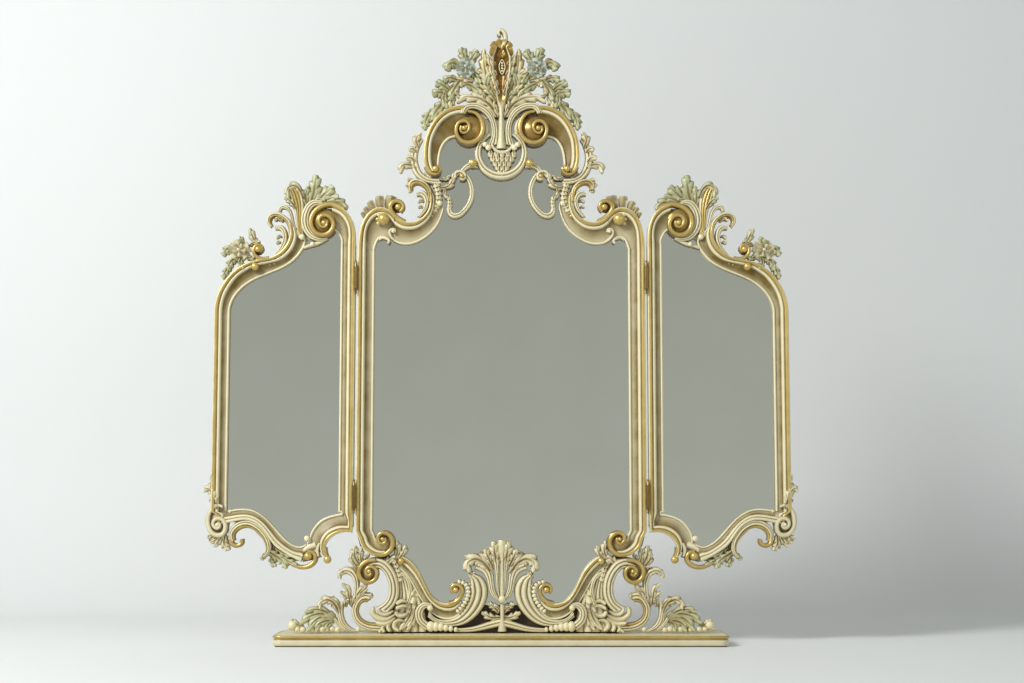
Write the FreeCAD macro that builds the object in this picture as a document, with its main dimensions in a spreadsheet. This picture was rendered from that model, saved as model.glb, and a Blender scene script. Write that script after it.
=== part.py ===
"""Free-standing trifold dressing mirror with a carved rococo frame.

Frame of reference: +Z up, the front faces -Y, +X is the viewer's right, origin under the middle of the base.
The flat backs of the carvings and the front of the glass share the plane y = 0. Carvings stand in front of it,
boards, glass and backing behind it. The left half is modelled and the right half mirrors it.
"""
import FreeCAD
import Part
import os

Vector = FreeCAD.Vector

# Driving dimensions in millimetres
SIZES = {
    # Base
    "base_width": 1064.0,
    "base_depth": 180.0,
    "base_thickness": 24.0,
    "base_corner": 14.0,
    "base_edge": 5.0,
    "felt_thickness": 2.0,
    "felt_margin": 8.0,
    # Heights, from the base upwards
    "apron_height": 242.0,
    "stile_length": 675.0,
    "crest_height": 538.0,
    # Centre frame
    "centre_width": 692.0,
    "stile_width": 40.0,
    "relief_depth": 26.0,
    "bead_radius": 5.0,
    "ground_depth": 10.0,
    "rebate": 10.0,
    "glass_thickness": 4.0,
    "glass_clearance": 1.0,
    # Wings
    "wing_width": 338.0,
    "wing_stile_width": 36.0,
    "wing_drop": 132.0,
    "wing_stile_start": 45.0,
    "wing_outer_length": 482.0,
    "wing_rise": 325.0,
    # Hinges
    "hinge_gap": 6.0,
    "hinge_proud": 3.0,
    "knuckle_radius": 5.0,
    "knuckle_length": 26.0,
    "pin_radius": 2.5,
    "pin_clearance": 0.05,
    "knuckle_gap": 0.3,
    "pin_reach": 21.0,
    "finial_length": 12.0,
    "finial_radius": 4.2,
    "hinge_leaf": 2.0,
    "hinge_leaf_front": 3.0,
    "hinge_leaf_back": 32.0,
    "lower_hinge_rise": 80.0,
    "upper_hinge_drop": 71.0,
    # Fixings
    "screw_radius": 1.6,
    "screw_length": 12.0,
    "screw_head": 3.2,
    "screw_head_height": 1.2,
    "clip_length": 32.0,
    "clip_width": 12.0,
    "clip_thickness": 3.0,
    # Posts behind the frame
    "post_width": 40.0,
    "post_depth": 24.0,
    "post_screw_length": 31.0,
    # Smallest width of a carved tip, and how far cutting blocks run past what they cut
    "tip_width": 2.0,
    "overrun": 60.0,
}

# Sections of the carving: (share of its width, share of the relief depth)
MOULDING_SHARES = (
    (0.0, 0.0), (0.0, 0.60), (0.06, 0.88), (0.13, 1.0), (0.21, 0.90), (0.27, 0.66),
    (0.45, 0.45), (0.64, 0.33), (0.84, 0.28), (0.92, 0.34), (1.0, 0.20), (1.0, 0.0),
)
ROLL_SHARES = ((-0.5, 0.0), (-0.5, 0.40), (-0.22, 0.86), (0.0, 1.0), (0.22, 0.86), (0.5, 0.40), (0.5, 0.0))
LEAF_SHARES = ((-0.5, 0.0), (-0.5, 0.34), (0.0, 1.0), (0.5, 0.34), (0.5, 0.0))
# Turned forms: (share of the radius, share of the height), from the back's middle round to the front's middle
VOLUTE_SHARES = (
    (0.0, 0.0), (1.0, 0.0), (1.0, 0.50), (0.86, 0.70), (0.70, 0.52), (0.56, 0.62), (0.44, 0.56), (0.40, 0.84),
    (0.28, 1.02), (0.12, 1.10), (0.0, 1.10),
)
DOME_SHARES = ((0.0, 0.0), (1.0, 0.0), (0.93, 0.37), (0.71, 0.71), (0.40, 0.93), (0.14, 1.0), (0.0, 1.0))
# Stile section: middle and end of the cove, then the sight bead
COVE_SHARES = ((0.54, 0.40), (0.84, 0.28))
SIGHT_BEAD_SHARES = ((0.84, 0.28), (0.92, 0.36), (1.0, 0.20))

# Crest: x in half centre widths, z in crest heights above the stiles
SHOULDER_LIP_SHARES = (
    (-1.0, 0.0), (-0.993, 0.063), (-0.966, 0.118), (-0.914, 0.161), (-0.851, 0.180), (-0.794, 0.171),
    (-0.745, 0.148), (-0.675, 0.128), (-0.619, 0.126), (-0.570, 0.132), (-0.524, 0.155), (-0.497, 0.183),
    (-0.485, 0.219), (-0.493, 0.260), (-0.529, 0.292), (-0.578, 0.308),
)
SHOULDER_WIDTH_SHARES = (1.0, 0.92, 0.8, 0.8, 0.92, 1.0, 0.95, 0.72, 0.55, 0.42, 0.25)
ROSETTE_SHARES = (-0.829, 0.132)
FAN_TIP_SHARES = ((-0.975, 0.150), (-0.945, 0.202), (-0.865, 0.239), (-0.788, 0.237), (-0.725, 0.208))
ARCH_RIM_SHARES = (
    (-0.526, 0.358), (-0.548, 0.407), (-0.546, 0.471), (-0.523, 0.535), (-0.474, 0.591), (-0.397, 0.633),
    (-0.298, 0.647),
)
ARCH_WIDTH_SHARES = (0.5, 0.84, 0.92, 0.92, 0.8, 0.6, 0.45)
ARCH_BALL_SHARES = (-0.462, 0.362)
VOLUTE_PLACE_SHARES = (-0.270, 0.547)
RING_SHARES = (0.0, 0.434)
RING_RADIUS_SHARE = 0.178
RING_BALL_SHARES = (-0.206, 0.393)
PENDANT_SHARES = ((0.0, 0.485), (0.0, 0.453), (0.0, 0.402), (0.0, 0.347))
PENDANT_WIDTH_SHARES = (0.9, 1.6, 0.9, 0.05)
EAR_SHARES = (
    (-0.325, 0.347), (-0.255, 0.319), (-0.219, 0.264), (-0.247, 0.200), (-0.324, 0.155), (-0.384, 0.187),
    (-0.384, 0.228),
)
EAR_WIDTH_SHARES = (0.22, 0.3, 0.34, 0.34, 0.3, 0.22)
EAR_SHELL_SHARES = ((-0.430, 0.329), (-0.388, 0.312), (-0.350, 0.285))
PLUME_SHARES = ((0.0, 0.457), (0.0, 0.619), (0.0, 0.725), (0.0, 0.809), (0.0, 0.902), (0.0, 0.953), (0.0, 1.0))
PLUME_WIDTH_SHARES = (0.75, 0.34, 0.6, 0.95, 1.35, 0.9, 0.2)
PLUME_SIDE_SHARES = ((-0.030, 0.697), (-0.094, 0.762), (-0.126, 0.836), (-0.126, 0.915))
PLUME_RIB_SHARES = ((-0.040, 0.640), (-0.055, 0.563), (-0.079, 0.512), (-0.121, 0.471))
HORN_SHARES = ((-0.045, 0.628), (-0.164, 0.697), (-0.256, 0.707), (-0.323, 0.688))
HORN_WIDTH_SHARES = (0.35, 0.5, 0.4, 0.08)
ACANTHUS_SHARES = ((-0.060, 0.530), (-0.100, 0.614), (-0.185, 0.653), (-0.277, 0.632))
ACANTHUS_WIDTH_SHARES = (0.4, 0.8, 0.65, 0.1)
BRANCH_SHARES = ((-0.129, 0.804), (-0.285, 0.778), (-0.362, 0.744), (-0.412, 0.688), (-0.446, 0.615))
FLOWER_SHARES = (-0.264, 0.830)
SPRAY_SHARES = (
    ((-0.250, 0.830), (-0.179, 0.906)), ((-0.262, 0.775), (-0.292, 0.915)), ((-0.270, 0.835), (-0.398, 0.818)),
    ((-0.290, 0.778), (-0.412, 0.771)), ((-0.370, 0.738), (-0.490, 0.725)), ((-0.395, 0.715), (-0.366, 0.650)),
    ((-0.425, 0.672), (-0.510, 0.591)), ((-0.256, 0.790), (-0.256, 0.734)), ((-0.235, 0.788), (-0.150, 0.720)),
)
SIDE_LEAF_SHARES = (
    (-0.552, 0.522), (-0.593, 0.462), (-0.610, 0.407), (-0.585, 0.351), (-0.515, 0.315), (-0.437, 0.296),
)
SIDE_LEAF_WIDTH_SHARES = (0.15, 0.5, 0.62, 0.62, 0.55, 0.1)
SIDE_HORN_SHARES = ((-0.595, 0.400), (-0.677, 0.384), (-0.716, 0.351))
CREST_BOARD_SHARES = (
    (-1.0, 0.0), (-0.986, 0.063), (-0.955, 0.113), (-0.892, 0.150), (-0.822, 0.159), (-0.759, 0.136),
    (-0.675, 0.118), (-0.611, 0.113), (-0.548, 0.132), (-0.500, 0.177), (-0.486, 0.228), (-0.514, 0.273),
    (-0.557, 0.319), (-0.536, 0.365), (-0.544, 0.448), (-0.509, 0.531), (-0.453, 0.586), (-0.383, 0.623),
    (-0.284, 0.642), (-0.143, 0.669),
)
# Glass opening in the crest: x in half opening widths
CREST_OPENING_SHARES = (
    (-1.0, 0.0), (-1.0, 0.063), (-0.938, 0.109), (-0.831, 0.095), (-0.692, 0.082), (-0.592, 0.104),
    (-0.509, 0.168), (-0.494, 0.228), (-0.540, 0.292), (-0.549, 0.374), (-0.542, 0.457), (-0.481, 0.540),
    (-0.365, 0.591), (-0.249, 0.600),
)

# Apron: x in half centre widths, z in apron heights above the base
FOOT_SHARES = (-0.861, 0.923)
FOOT_RADIUS_SHARE = 1.06
APRON_LIP_SHARES = (
    (-0.716, 0.777), (-0.642, 0.708), (-0.598, 0.650), (-0.557, 0.562), (-0.525, 0.465), (-0.494, 0.377),
    (-0.446, 0.314), (-0.384, 0.285), (-0.322, 0.304),
)
APRON_WIDTH_SHARES = (0.3, 0.55, 0.6, 0.6, 0.6, 0.55, 0.4)
APRON_VOLUTE_SHARES = (-0.318, 0.406)
SWEEP_SHARES = (
    (-0.494, 0.241), (-0.445, 0.154), (-0.370, 0.101), (-0.288, 0.110), (-0.212, 0.183), (-0.158, 0.280),
    (-0.130, 0.377), (-0.141, 0.484), (-0.192, 0.552),
)
SWEEP_WIDTH_SHARES = (0.3, 0.5, 0.6, 0.65, 0.6, 0.5, 0.1)
APRON_LEAF_SHARES = ((-0.631, 0.348), (-0.610, 0.232), (-0.569, 0.105), (-0.507, -0.030))
BEAD_ROW_SHARES = ((-0.480, 0.030), (-0.308, 0.030))
CONSOLE_SHARES = (
    (-0.936, 0.699), (-0.853, 0.726), (-0.770, 0.675), (-0.722, 0.582), (-0.703, 0.455), (-0.720, 0.319),
    (-0.795, 0.164),
)
CONSOLE_WIDTH_SHARES = (0.3, 0.52, 0.58, 0.58, 0.55, 0.35)
CONSOLE_VOLUTE_SHARES = (-0.902, 0.599)
LOWER_SCROLL_SHARES = ((-0.927, 0.348), (-0.995, 0.261), (-0.994, 0.144), (-0.918, 0.050), (-0.780, 0.020))
LOWER_SCROLL_WIDTH_SHARES = (0.1, 0.4, 0.5, 0.55, 0.5)
LOWER_LEAF_SHARES = ((-0.960, 0.130), (-0.895, 0.260), (-0.892, 0.385))
UPPER_ACANTHUS_SHARES = ((-1.000, 0.200), (-1.009, 0.380), (-0.996, 0.500), (-1.038, 0.590), (-1.114, 0.575))
LOWER_ACANTHUS_SHARES = ((-1.010, 0.240), (-1.057, 0.368), (-1.106, 0.465))
S_LEAF_SHARES = ((-0.986, 0.010), (-1.062, 0.057), (-1.118, 0.164), (-1.152, 0.251), (-1.235, 0.319))
GRAPE_TIP_SHARES = ((-1.365, 0.202), (-1.262, 0.251), (-1.173, 0.212))
GRAPE_BASE_SHARES = (-1.260, -0.040)
BERRY_SHARES = ((-1.357, 0.030), (-1.309, 0.030), (-1.213, 0.030), (-1.165, 0.030), (-1.117, 0.030))
BUD_SHARES = (-1.415, 0.030)
PALM_BASE_SHARES = (0.0, 0.300)
PALM_TIP_SHARES = ((-0.247, 0.630), (-0.193, 0.747), (-0.093, 0.835), (0.0, 0.904))
PALM_STEM_SHARES = ((0.0, 0.360), (0.0, -0.030))
PALM_SIDE_SHARES = ((0.0, 0.190), (-0.151, 0.251))
APRON_BOARD_SHARES = (
    (-1.0, 1.0), (-0.971, 0.845), (-0.895, 0.757), (-0.798, 0.718), (-0.742, 0.591), (-0.721, 0.416),
    (-0.755, 0.261), (-0.809, 0.125), (-0.809, 0.0),
)
APRON_OPENING_SHARES = (
    (-1.0, 1.0), (-1.0, 0.894), (-0.889, 0.796), (-0.775, 0.689), (-0.670, 0.543), (-0.578, 0.377),
    (-0.458, 0.232), (-0.345, 0.270),
)

# Wing top: x in wing widths from the hinge side, z in wing rises above the outer stile
WING_STEP_SHARE = 0.485
WING_INNER_LENGTH = f"sizes.wing_outer_length + sizes.wing_rise * {WING_STEP_SHARE}"
WING_NECK_SHARES = ((0.060, 0.720), (0.014, 0.620), (0.0, WING_STEP_SHARE))
WING_LIP_SHARES = (
    (1.0, 0.0), (0.981, 0.117), (0.940, 0.222), (0.875, 0.297), (0.802, 0.338), (0.724, 0.364), (0.652, 0.379),
    (0.576, 0.404), (0.519, 0.452), (0.486, 0.513), (0.476, 0.584), (0.495, 0.662), (0.549, 0.707),
)
WING_LIP_WIDTH_SHARES = (1.0, 1.05, 1.15, 1.1, 1.0, 0.95, 0.9, 0.9, 0.75, 0.3)
WING_BALL_SHARES = (0.700, 0.425)
WING_HEAD_SHARES = (0.152, 0.643)
WING_HEAD_RADIUS_SHARE = 1.25
WING_BAND_SHARES = (
    (0.248, 0.802), (0.334, 0.779), (0.366, 0.711), (0.354, 0.613), (0.303, 0.545), (0.217, 0.523),
)
WING_PLUME_SHARES = ((0.395, 0.530), (0.405, 0.719), (0.410, 0.847), (0.444, 0.925), (0.501, 0.900))
WING_PLUME_WIDTH_SHARES = (0.3, 0.75, 0.85, 0.6, 0.15)
WING_LEAF_SHARES = (
    ((0.300, 0.760), (0.301, 0.985)), ((0.263, 0.770), (0.178, 0.923)), ((0.227, 0.770), (0.134, 0.863)),
    ((0.176, 0.760), (0.083, 0.787)),
)
ROSE_SHARES = (0.839, 0.405)
ROSE_LEAF_SHARES = (
    ((0.800, 0.310), (0.756, 0.605)), ((0.840, 0.290), (0.947, 0.440)), ((0.860, 0.270), (0.966, 0.262)),
    ((0.800, 0.380), (0.760, 0.480)),
)
WING_TOP_BOARD_SHARES = (
    (0.0, WING_STEP_SHARE), (0.017, 0.621), (0.068, 0.726), (0.154, 0.768), (0.255, 0.760), (0.312, 0.711),
    (0.370, 0.726), (0.419, 0.636), (0.461, 0.560), (0.475, 0.500), (0.517, 0.432), (0.581, 0.379),
    (0.681, 0.349), (0.788, 0.319), (0.866, 0.274), (0.922, 0.207), (0.967, 0.109), (1.0, 0.0),
)
# Glass opening of the wing: x in opening widths from the hinge side
WING_TOP_OPENING_SHARES = (
    (0.0, WING_STEP_SHARE), (0.0, 0.560), (0.072, 0.590), (0.208, 0.560), (0.317, 0.530), (0.410, 0.455),
    (0.494, 0.372), (0.645, 0.319), (0.797, 0.267), (0.914, 0.177), (0.985, 0.064), (1.0, 0.0),
)

# Wing bottom: z in wing drops above the lowest carving
WING_RAIL_SHARES = (
    (0.985, 0.905), (0.810, 0.890), (0.689, 0.790), (0.589, 0.565), (0.496, 0.310), (0.411, 0.220),
    (0.327, 0.300), (0.272, 0.519), (0.202, 0.700), (0.104, 0.800), (0.012, 0.815),
)
WING_RAIL_WIDTH_SHARES = (0.95, 0.95, 0.95, 1.0, 1.0, 1.0, 0.95, 0.95, 0.95, 0.95)
WING_CURL_SHARES = (
    ((0.653, 0.698), (0.620, 0.465), (0.636, 0.178)), ((0.173, 0.555), (0.229, 0.375), (0.185, 0.145)),
    ((0.446, 0.070), (0.370, 0.070), (0.284, 0.180)),
)
WING_LOW_LEAF_SHARES = ((0.609, 0.300), (0.530, 0.150), (0.440, 0.110))
WING_LOW_BALL_SHARES = ((0.313, 0.250), (0.186, 0.160), (0.815, 0.560))
CORNER_SHARES = (0.945, 0.770)
CORNER_LEAF_SHARES = (
    ((0.945, 0.914), (1.012, 1.310), (0.998, 1.617)), ((0.936, 0.700), (0.997, 0.375)),
    ((0.900, 0.700), (0.884, 0.339)),
)
WING_BOTTOM_BOARD_SHARES = (
    (0.0, 1.0), (0.0, 0.716), (0.124, 0.662), (0.208, 0.519), (0.264, 0.322), (0.340, 0.125), (0.439, 0.089),
    (0.545, 0.196), (0.638, 0.483), (0.710, 0.680), (0.788, 0.770), (0.880, 0.824), (0.965, 0.880), (1.0, 1.0),
)
WING_BOTTOM_OPENING_SHARES = (
    (0.0, 1.0), (0.0, 0.896), (0.048, 0.878), (0.156, 0.788), (0.239, 0.590), (0.304, 0.339), (0.395, 0.250),
    (0.495, 0.339), (0.615, 0.608), (0.723, 0.824), (0.833, 0.932), (1.0, 0.968), (1.0, 1.0),
)

# Posts: place in half centre widths, top and screws in crest and apron heights
POST_PLACE_SHARE = -0.708
POST_TOP_SHARE = 0.115
POST_HEIGHT = f"sizes.apron_height + sizes.stile_length + sizes.crest_height * {POST_TOP_SHARE}"
POST_HEAD_SCREW_SHARE = 0.103
POST_FOOT_SCREW_SHARE = 0.30
# The crest ring's gap at the top in degrees, and the points that its line runs through
RING_OPENING = 70
RING_STEPS = 16
# Places along the stiles, as shares of their length
CENTRE_CLIP_SHARES = (0.08, 0.36, 0.64, 0.92)
WING_CLIP_SHARES = (0.1, 0.5, 0.9)
HINGE_SCREW_SHARES = (0.25, 0.75)
HINGE_SCREW_DEPTH_SHARE = 0.72

doc = FreeCAD.newDocument("trifold_mirror")
sheet = doc.addObject("Spreadsheet::Sheet", "sizes")
for row, (alias, number) in enumerate(SIZES.items(), start=1):
    sheet.set(f"A{row}", alias)
    sheet.set(f"B{row}", str(number))
    sheet.setAlias(f"B{row}", alias)
doc.recompute()
nodes = {}


def size(alias):
    """Value of a driving dimension."""
    return float(sheet.get(alias))


half_width = size("centre_width") / 2
base_top = size("felt_thickness") + size("base_thickness")
stile_foot = base_top + size("apron_height")
stile_head = stile_foot + size("stile_length")
relief = size("relief_depth")
ground = size("ground_depth")
stile = size("stile_width")
wing_stile = size("wing_stile_width")
opening_half = half_width - stile + size("rebate")
wing_edge = half_width + size("hinge_gap")
wing_margin = wing_stile - size("rebate")
wing_foot = stile_foot + size("wing_stile_start")
wing_low = wing_foot - size("wing_drop")
wing_shoulder = wing_foot + size("wing_outer_length")


# Places

def crest(spot):
    """Crest shares to x and z."""
    return half_width * spot[0], stile_head + size("crest_height") * spot[1]


def crest_opening(spot):
    """Shares of the centre opening in the crest to x and z."""
    return opening_half * spot[0], stile_head + size("crest_height") * spot[1]


def apron(spot):
    """Apron shares to x and z."""
    return half_width * spot[0], base_top + size("apron_height") * spot[1]


def apron_opening(spot):
    """Shares of the centre opening in the apron to x and z."""
    return opening_half * spot[0], base_top + size("apron_height") * spot[1]


def wing_top(spot):
    """Shares of the left wing's top to x and z."""
    return -wing_edge - size("wing_width") * spot[0], wing_shoulder + size("wing_rise") * spot[1]


def wing_bottom(spot):
    """Shares of the left wing's bottom to x and z."""
    return -wing_edge - size("wing_width") * spot[0], wing_low + size("wing_drop") * spot[1]


def wing_opening_x(share):
    """Share of the left wing's opening to x."""
    return -wing_edge - wing_margin - (size("wing_width") - 2 * wing_margin) * share


def wing_top_opening(spot):
    """Shares of the left wing's opening at the top to x and z."""
    return wing_opening_x(spot[0]), wing_shoulder + size("wing_rise") * spot[1]


def wing_bottom_opening(spot):
    """Shares of the left wing's opening at the bottom to x and z."""
    return wing_opening_x(spot[0]), wing_low + size("wing_drop") * spot[1]


def places(to_place, spots):
    """A table of shares as x and z."""
    return [to_place(spot) for spot in spots]


def mirrored(points):
    """The right-hand run of a left-hand outline, in the order that closes it."""
    return [(-x, z) for x, z in reversed(points)]


def inset(points, distance):
    """A closed outline moved inwards, each side by the same distance, with its corners where the sides meet."""
    area = sum(a[0] * b[1] - b[0] * a[1] for a, b in zip(points, points[1:] + points[:1]))
    turn = 1 if area > 0 else -1
    moved = []
    for before, here, after in zip(points[-1:] + points[:-1], points, points[1:] + points[:1]):
        first = Vector(here[0] - before[0], here[1] - before[1], 0).normalize()
        second = Vector(after[0] - here[0], after[1] - here[1], 0).normalize()
        inward = Vector(-first.y - second.y, first.x + second.x, 0)
        reach = turn * distance / (1 + first.dot(second))
        moved.append((here[0] + inward.x * reach, here[1] + inward.y * reach))
    return moved


# Document helpers

def keep(label, piece):
    """Names a finished sub-part."""
    piece.Label = label
    nodes[label] = piece
    return piece


def plane_of(body, role):
    """One of a body's own origin planes."""
    return [(plane, "") for plane in body.Origin.OriginFeatures if plane.Role == role]


def outline_edges(points):
    """Straight sides of a closed outline in sketch coordinates."""
    corners = [Vector(x, z, 0) for x, z in points]
    return [Part.LineSegment(a, b) for a, b in zip(corners, corners[1:] + corners[:1])]


def board(name, points, thickness, back=0.0):
    """A flat board of a given outline, whose front lies at y = back."""
    body = doc.addObject("PartDesign::Body", name)
    sketch = body.newObject("Sketcher::SketchObject", name + "_outline")
    sketch.AttachmentSupport = plane_of(body, "XZ_Plane")
    sketch.MapMode = "FlatFace"
    sketch.addGeometry(outline_edges(points))
    pad = body.newObject("PartDesign::Pad", name + "_pad")
    pad.Profile = sketch
    pad.Reversed = True
    pad.setExpression("Length", thickness)
    body.Placement.Base = Vector(0, back, 0)
    return body


def moulded_stile(name, length, width, foot):
    """A straight stile with its outer edge at x = 0 and its sight edge to the right, rebated for the glass."""
    body = doc.addObject("PartDesign::Body", name)
    sketch = body.newObject("Sketcher::SketchObject", name + "_section")
    sketch.AttachmentSupport = plane_of(body, "XY_Plane")
    sketch.MapMode = "FlatFace"
    bead = size("bead_radius")
    outer_bead = [Vector(0, bead - relief, 0), Vector(bead, -relief, 0), Vector(2 * bead, bead - relief, 0)]
    cove = outer_bead[-1:] + [Vector(width * t, -relief * h, 0) for t, h in COVE_SHARES]
    sight_bead = [Vector(width * t, -relief * h, 0) for t, h in SIGHT_BEAD_SHARES]
    arcs = (outer_bead, cove, sight_bead)
    corners = (
        arcs[-1][-1], Vector(width, 0, 0), Vector(width - size("rebate"), 0, 0),
        Vector(width - size("rebate"), ground, 0), Vector(0, ground, 0), arcs[0][0],
    )
    sides = [Part.LineSegment(a, b) for a, b in zip(corners, corners[1:])]
    sketch.addGeometry([Part.Arc(*arc) for arc in arcs] + sides)
    pad = body.newObject("PartDesign::Pad", name + "_pad")
    pad.Profile = sketch
    pad.setExpression("Length", length)
    body.Placement.Base = Vector(0, 0, foot)
    return body


def group(name, pieces):
    """Several solids as one object."""
    compound = doc.addObject("Part::Compound", name)
    compound.Links = pieces
    return compound


def joined(name, pieces):
    """Several overlapping solids as one."""
    fusion = doc.addObject("Part::MultiFuse", name)
    fusion.Shapes = pieces
    return fusion


def drilled(name, base, tools):
    """A piece with the bores of its screws."""
    cut = doc.addObject("Part::Cut", name)
    cut.Base = base
    cut.Tool = group(name + "_bores", tools)
    return cut


def mirror_of(name, piece):
    """The right-hand twin of a left-hand piece."""
    twin = doc.addObject("Part::Mirroring", name)
    twin.Source = piece
    twin.Normal = Vector(1, 0, 0)
    twin.Base = Vector(0, 0, 0)
    return twin


def cylinder(name, radius, height, spot, axis):
    """A cylinder whose radius and height are expressions of the sheet."""
    piece = doc.addObject("Part::Cylinder", name)
    piece.setExpression("Radius", radius)
    piece.setExpression("Height", height)
    piece.Placement = FreeCAD.Placement(spot, FreeCAD.Rotation(Vector(0, 0, 1), axis))
    return piece


def box(name, length, width, height, corner):
    """A block whose sides are expressions of the sheet."""
    piece = doc.addObject("Part::Box", name)
    piece.setExpression("Length", length)
    piece.setExpression("Width", width)
    piece.setExpression("Height", height)
    piece.Placement.Base = corner
    return piece


# Carving

def between(values, share):
    """A value read from an evenly spaced list at a share of its run."""
    place = share * (len(values) - 1)
    step = min(int(place), len(values) - 2)
    return values[step] + (values[step + 1] - values[step]) * (place - step)


def band(points, widths, heights, section, stations, upright_start=False):
    """A carved band: a section carried square to a smooth line through the points, its back flat at y = 0.

    Widths and heights are read evenly along the line, and a section's first share goes to the right of its run.
    A band with an upright start leaves its first point straight up, as a stile does.
    """
    corners = [Vector(x, 0, z) for x, z in points]
    line = Part.BSplineCurve()
    if upright_start:
        line.interpolate(Points=corners, InitialTangent=Vector(0, 0, 1), FinalTangent=corners[-1] - corners[-2])
    else:
        line.interpolate(corners)
    rings = []
    for step in range(stations):
        share = step / (stations - 1)
        at = line.parameterAtDistance(line.length() * share, line.FirstParameter)
        spot = line.value(at)
        run = line.tangent(at)[0]
        across = Vector(run.z, 0, -run.x)
        width = max(between(widths, share), size("tip_width"))
        height = between(heights, share)
        ring = [spot + across * (width * t) + Vector(0, -height * h, 0) for t, h in section]
        rings.append(Part.makePolygon(ring + ring[:1]))
    return Part.makeLoft(rings, True)


def moulding(points, width_shares, stations=15, upright_start=False):
    """A scroll moulding with a raised lip on the line and a cove to its right."""
    widths = [stile * share for share in width_shares]
    return band(points, widths, [relief, relief], MOULDING_SHARES, stations, upright_start=upright_start)


def roll(points, width_shares, height_shares=(0.7, 0.8, 0.7), stations=13):
    """A rounded scroll about its own line."""
    widths = [stile * share for share in width_shares]
    return band(points, widths, [relief * share for share in height_shares], ROLL_SHARES, stations)


def lobed_leaf(points, width_share, height_share=0.62, lobes=3):
    """A leaf with a raised midrib and a lobed edge, widest below its middle."""
    notch_share = 0.70
    outline_shares = (0.35, 0.85, 1.0, 0.8, 0.05)
    stations = 2 * lobes + 3
    widths = []
    for step in range(stations):
        notch = notch_share if step % 2 == 0 and 0 < step < stations - 1 else 1.0
        widths.append(stile * width_share * notch * between(outline_shares, step / (stations - 1)))
    heights = [relief * height_share, relief * height_share * notch_share]
    return band(points, widths, heights, LEAF_SHARES, stations)


def rooted_leaf(root, tip, start_share, width_share, height_share):
    """A straight leaf of a fan, which starts a little way out from the fan's root."""
    start = tuple(a + (b - a) * start_share for a, b in zip(root, tip))
    return lobed_leaf([start, tip], width_share, height_share, 2)


def turned(spot, radius, height, profile_shares):
    """A round form turned about the line square to the face at a spot."""
    x, z = spot
    corners = [Vector(x + radius * r, -height * h, z) for r, h in profile_shares]
    profile = Part.Face(Part.makePolygon(corners + corners[:1]))
    return profile.revolve(corners[0], Vector(0, -1, 0), 360)


def volute(spot, radius_share, height_share=1.0):
    """A stepped volute with a boss in its eye."""
    return turned(spot, stile * radius_share, relief * height_share, VOLUTE_SHARES)


def ball(spot, radius_share, height_share=0.7):
    """A domed bead, berry or flower."""
    return turned(spot, stile * radius_share, relief * height_share, DOME_SHARES)


def one_solid(pieces):
    """Overlapping carvings as one carving."""
    return pieces[0].fuse(pieces[1:]).removeSplitter() if len(pieces) > 1 else pieces[0]


def cleared(shape, others):
    """A carving cut back to the carvings that it meets."""
    near = [other for other in others if shape.BoundBox.intersect(other.BoundBox)]
    return shape.cut(near) if near else shape


def twin_shape(shape):
    """The right-hand twin of a carving."""
    return shape.mirror(Vector(0, 0, 0), Vector(1, 0, 0))


def tidied(shape):
    """The carving without the crumbs that a cut leaves."""
    crumb_share = 0.02
    solids = [solid for solid in shape.Solids if solid.Volume > shape.Volume * crumb_share]
    return solids[0] if len(solids) == 1 else Part.Compound(solids)


def stile_block(start_x, width, foot, head):
    """The room that the front of a straight stile takes up."""
    return Part.makeBox(width, relief, head - foot, Vector(start_x, -relief, foot))


def above_base(shape):
    """A carving cut flat where it stands on the base."""
    bounds = shape.BoundBox
    over = size("overrun")
    block = Part.makeBox(
        bounds.XLength + 2 * over, bounds.YLength + 2 * over, over,
        Vector(bounds.XMin - over, bounds.YMin - over, base_top - over),
    )
    return shape.cut(block)


def carving(label, shape):
    """Puts a finished carving into the document."""
    piece = doc.addObject("Part::Feature", label)
    piece.Shape = shape
    piece.Placement = FreeCAD.Placement()
    return keep(label, piece)


def carving_pair(label, shape):
    """A left-hand carving and its right-hand twin."""
    piece = carving("left_" + label, shape)
    keep("right_" + label, mirror_of("right_" + label, piece))


# Base

def make_base():
    body = doc.addObject("PartDesign::Body", "base_board")
    sketch = body.newObject("Sketcher::SketchObject", "base_outline")
    sketch.AttachmentSupport = plane_of(body, "XY_Plane")
    sketch.MapMode = "FlatFace"
    x, y = size("base_width") / 2, size("base_depth") / 2
    sketch.addGeometry(outline_edges([(-x, -y), (x, -y), (x, y), (-x, y)]))
    pad = body.newObject("PartDesign::Pad", "base_pad")
    pad.Profile = sketch
    pad.setExpression("Length", "sizes.base_thickness")
    doc.recompute()
    upright = [f"Edge{i}" for i, edge in enumerate(pad.Shape.Edges, 1) if abs(edge.tangentAt(0).z) > 0.5]
    corner = body.newObject("PartDesign::Fillet", "base_corners")
    corner.Base = (pad, upright)
    corner.setExpression("Radius", "sizes.base_corner")
    doc.recompute()
    top = [f"Edge{i}" for i, edge in enumerate(corner.Shape.Edges, 1) if edge.BoundBox.ZMin > size("base_edge")]
    edge = body.newObject("PartDesign::Fillet", "base_top_edge")
    edge.Base = (corner, top)
    edge.setExpression("Radius", "sizes.base_edge")
    body.Placement.Base = Vector(0, 0, size("felt_thickness"))
    keep("base_board", body)
    margin = size("felt_margin")
    felt = box(
        "base_felt", "sizes.base_width - 2 * sizes.felt_margin", "sizes.base_depth - 2 * sizes.felt_margin",
        "sizes.felt_thickness", Vector(margin - x, margin - y, 0),
    )
    keep("base_felt", felt)


# Fixings

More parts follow.
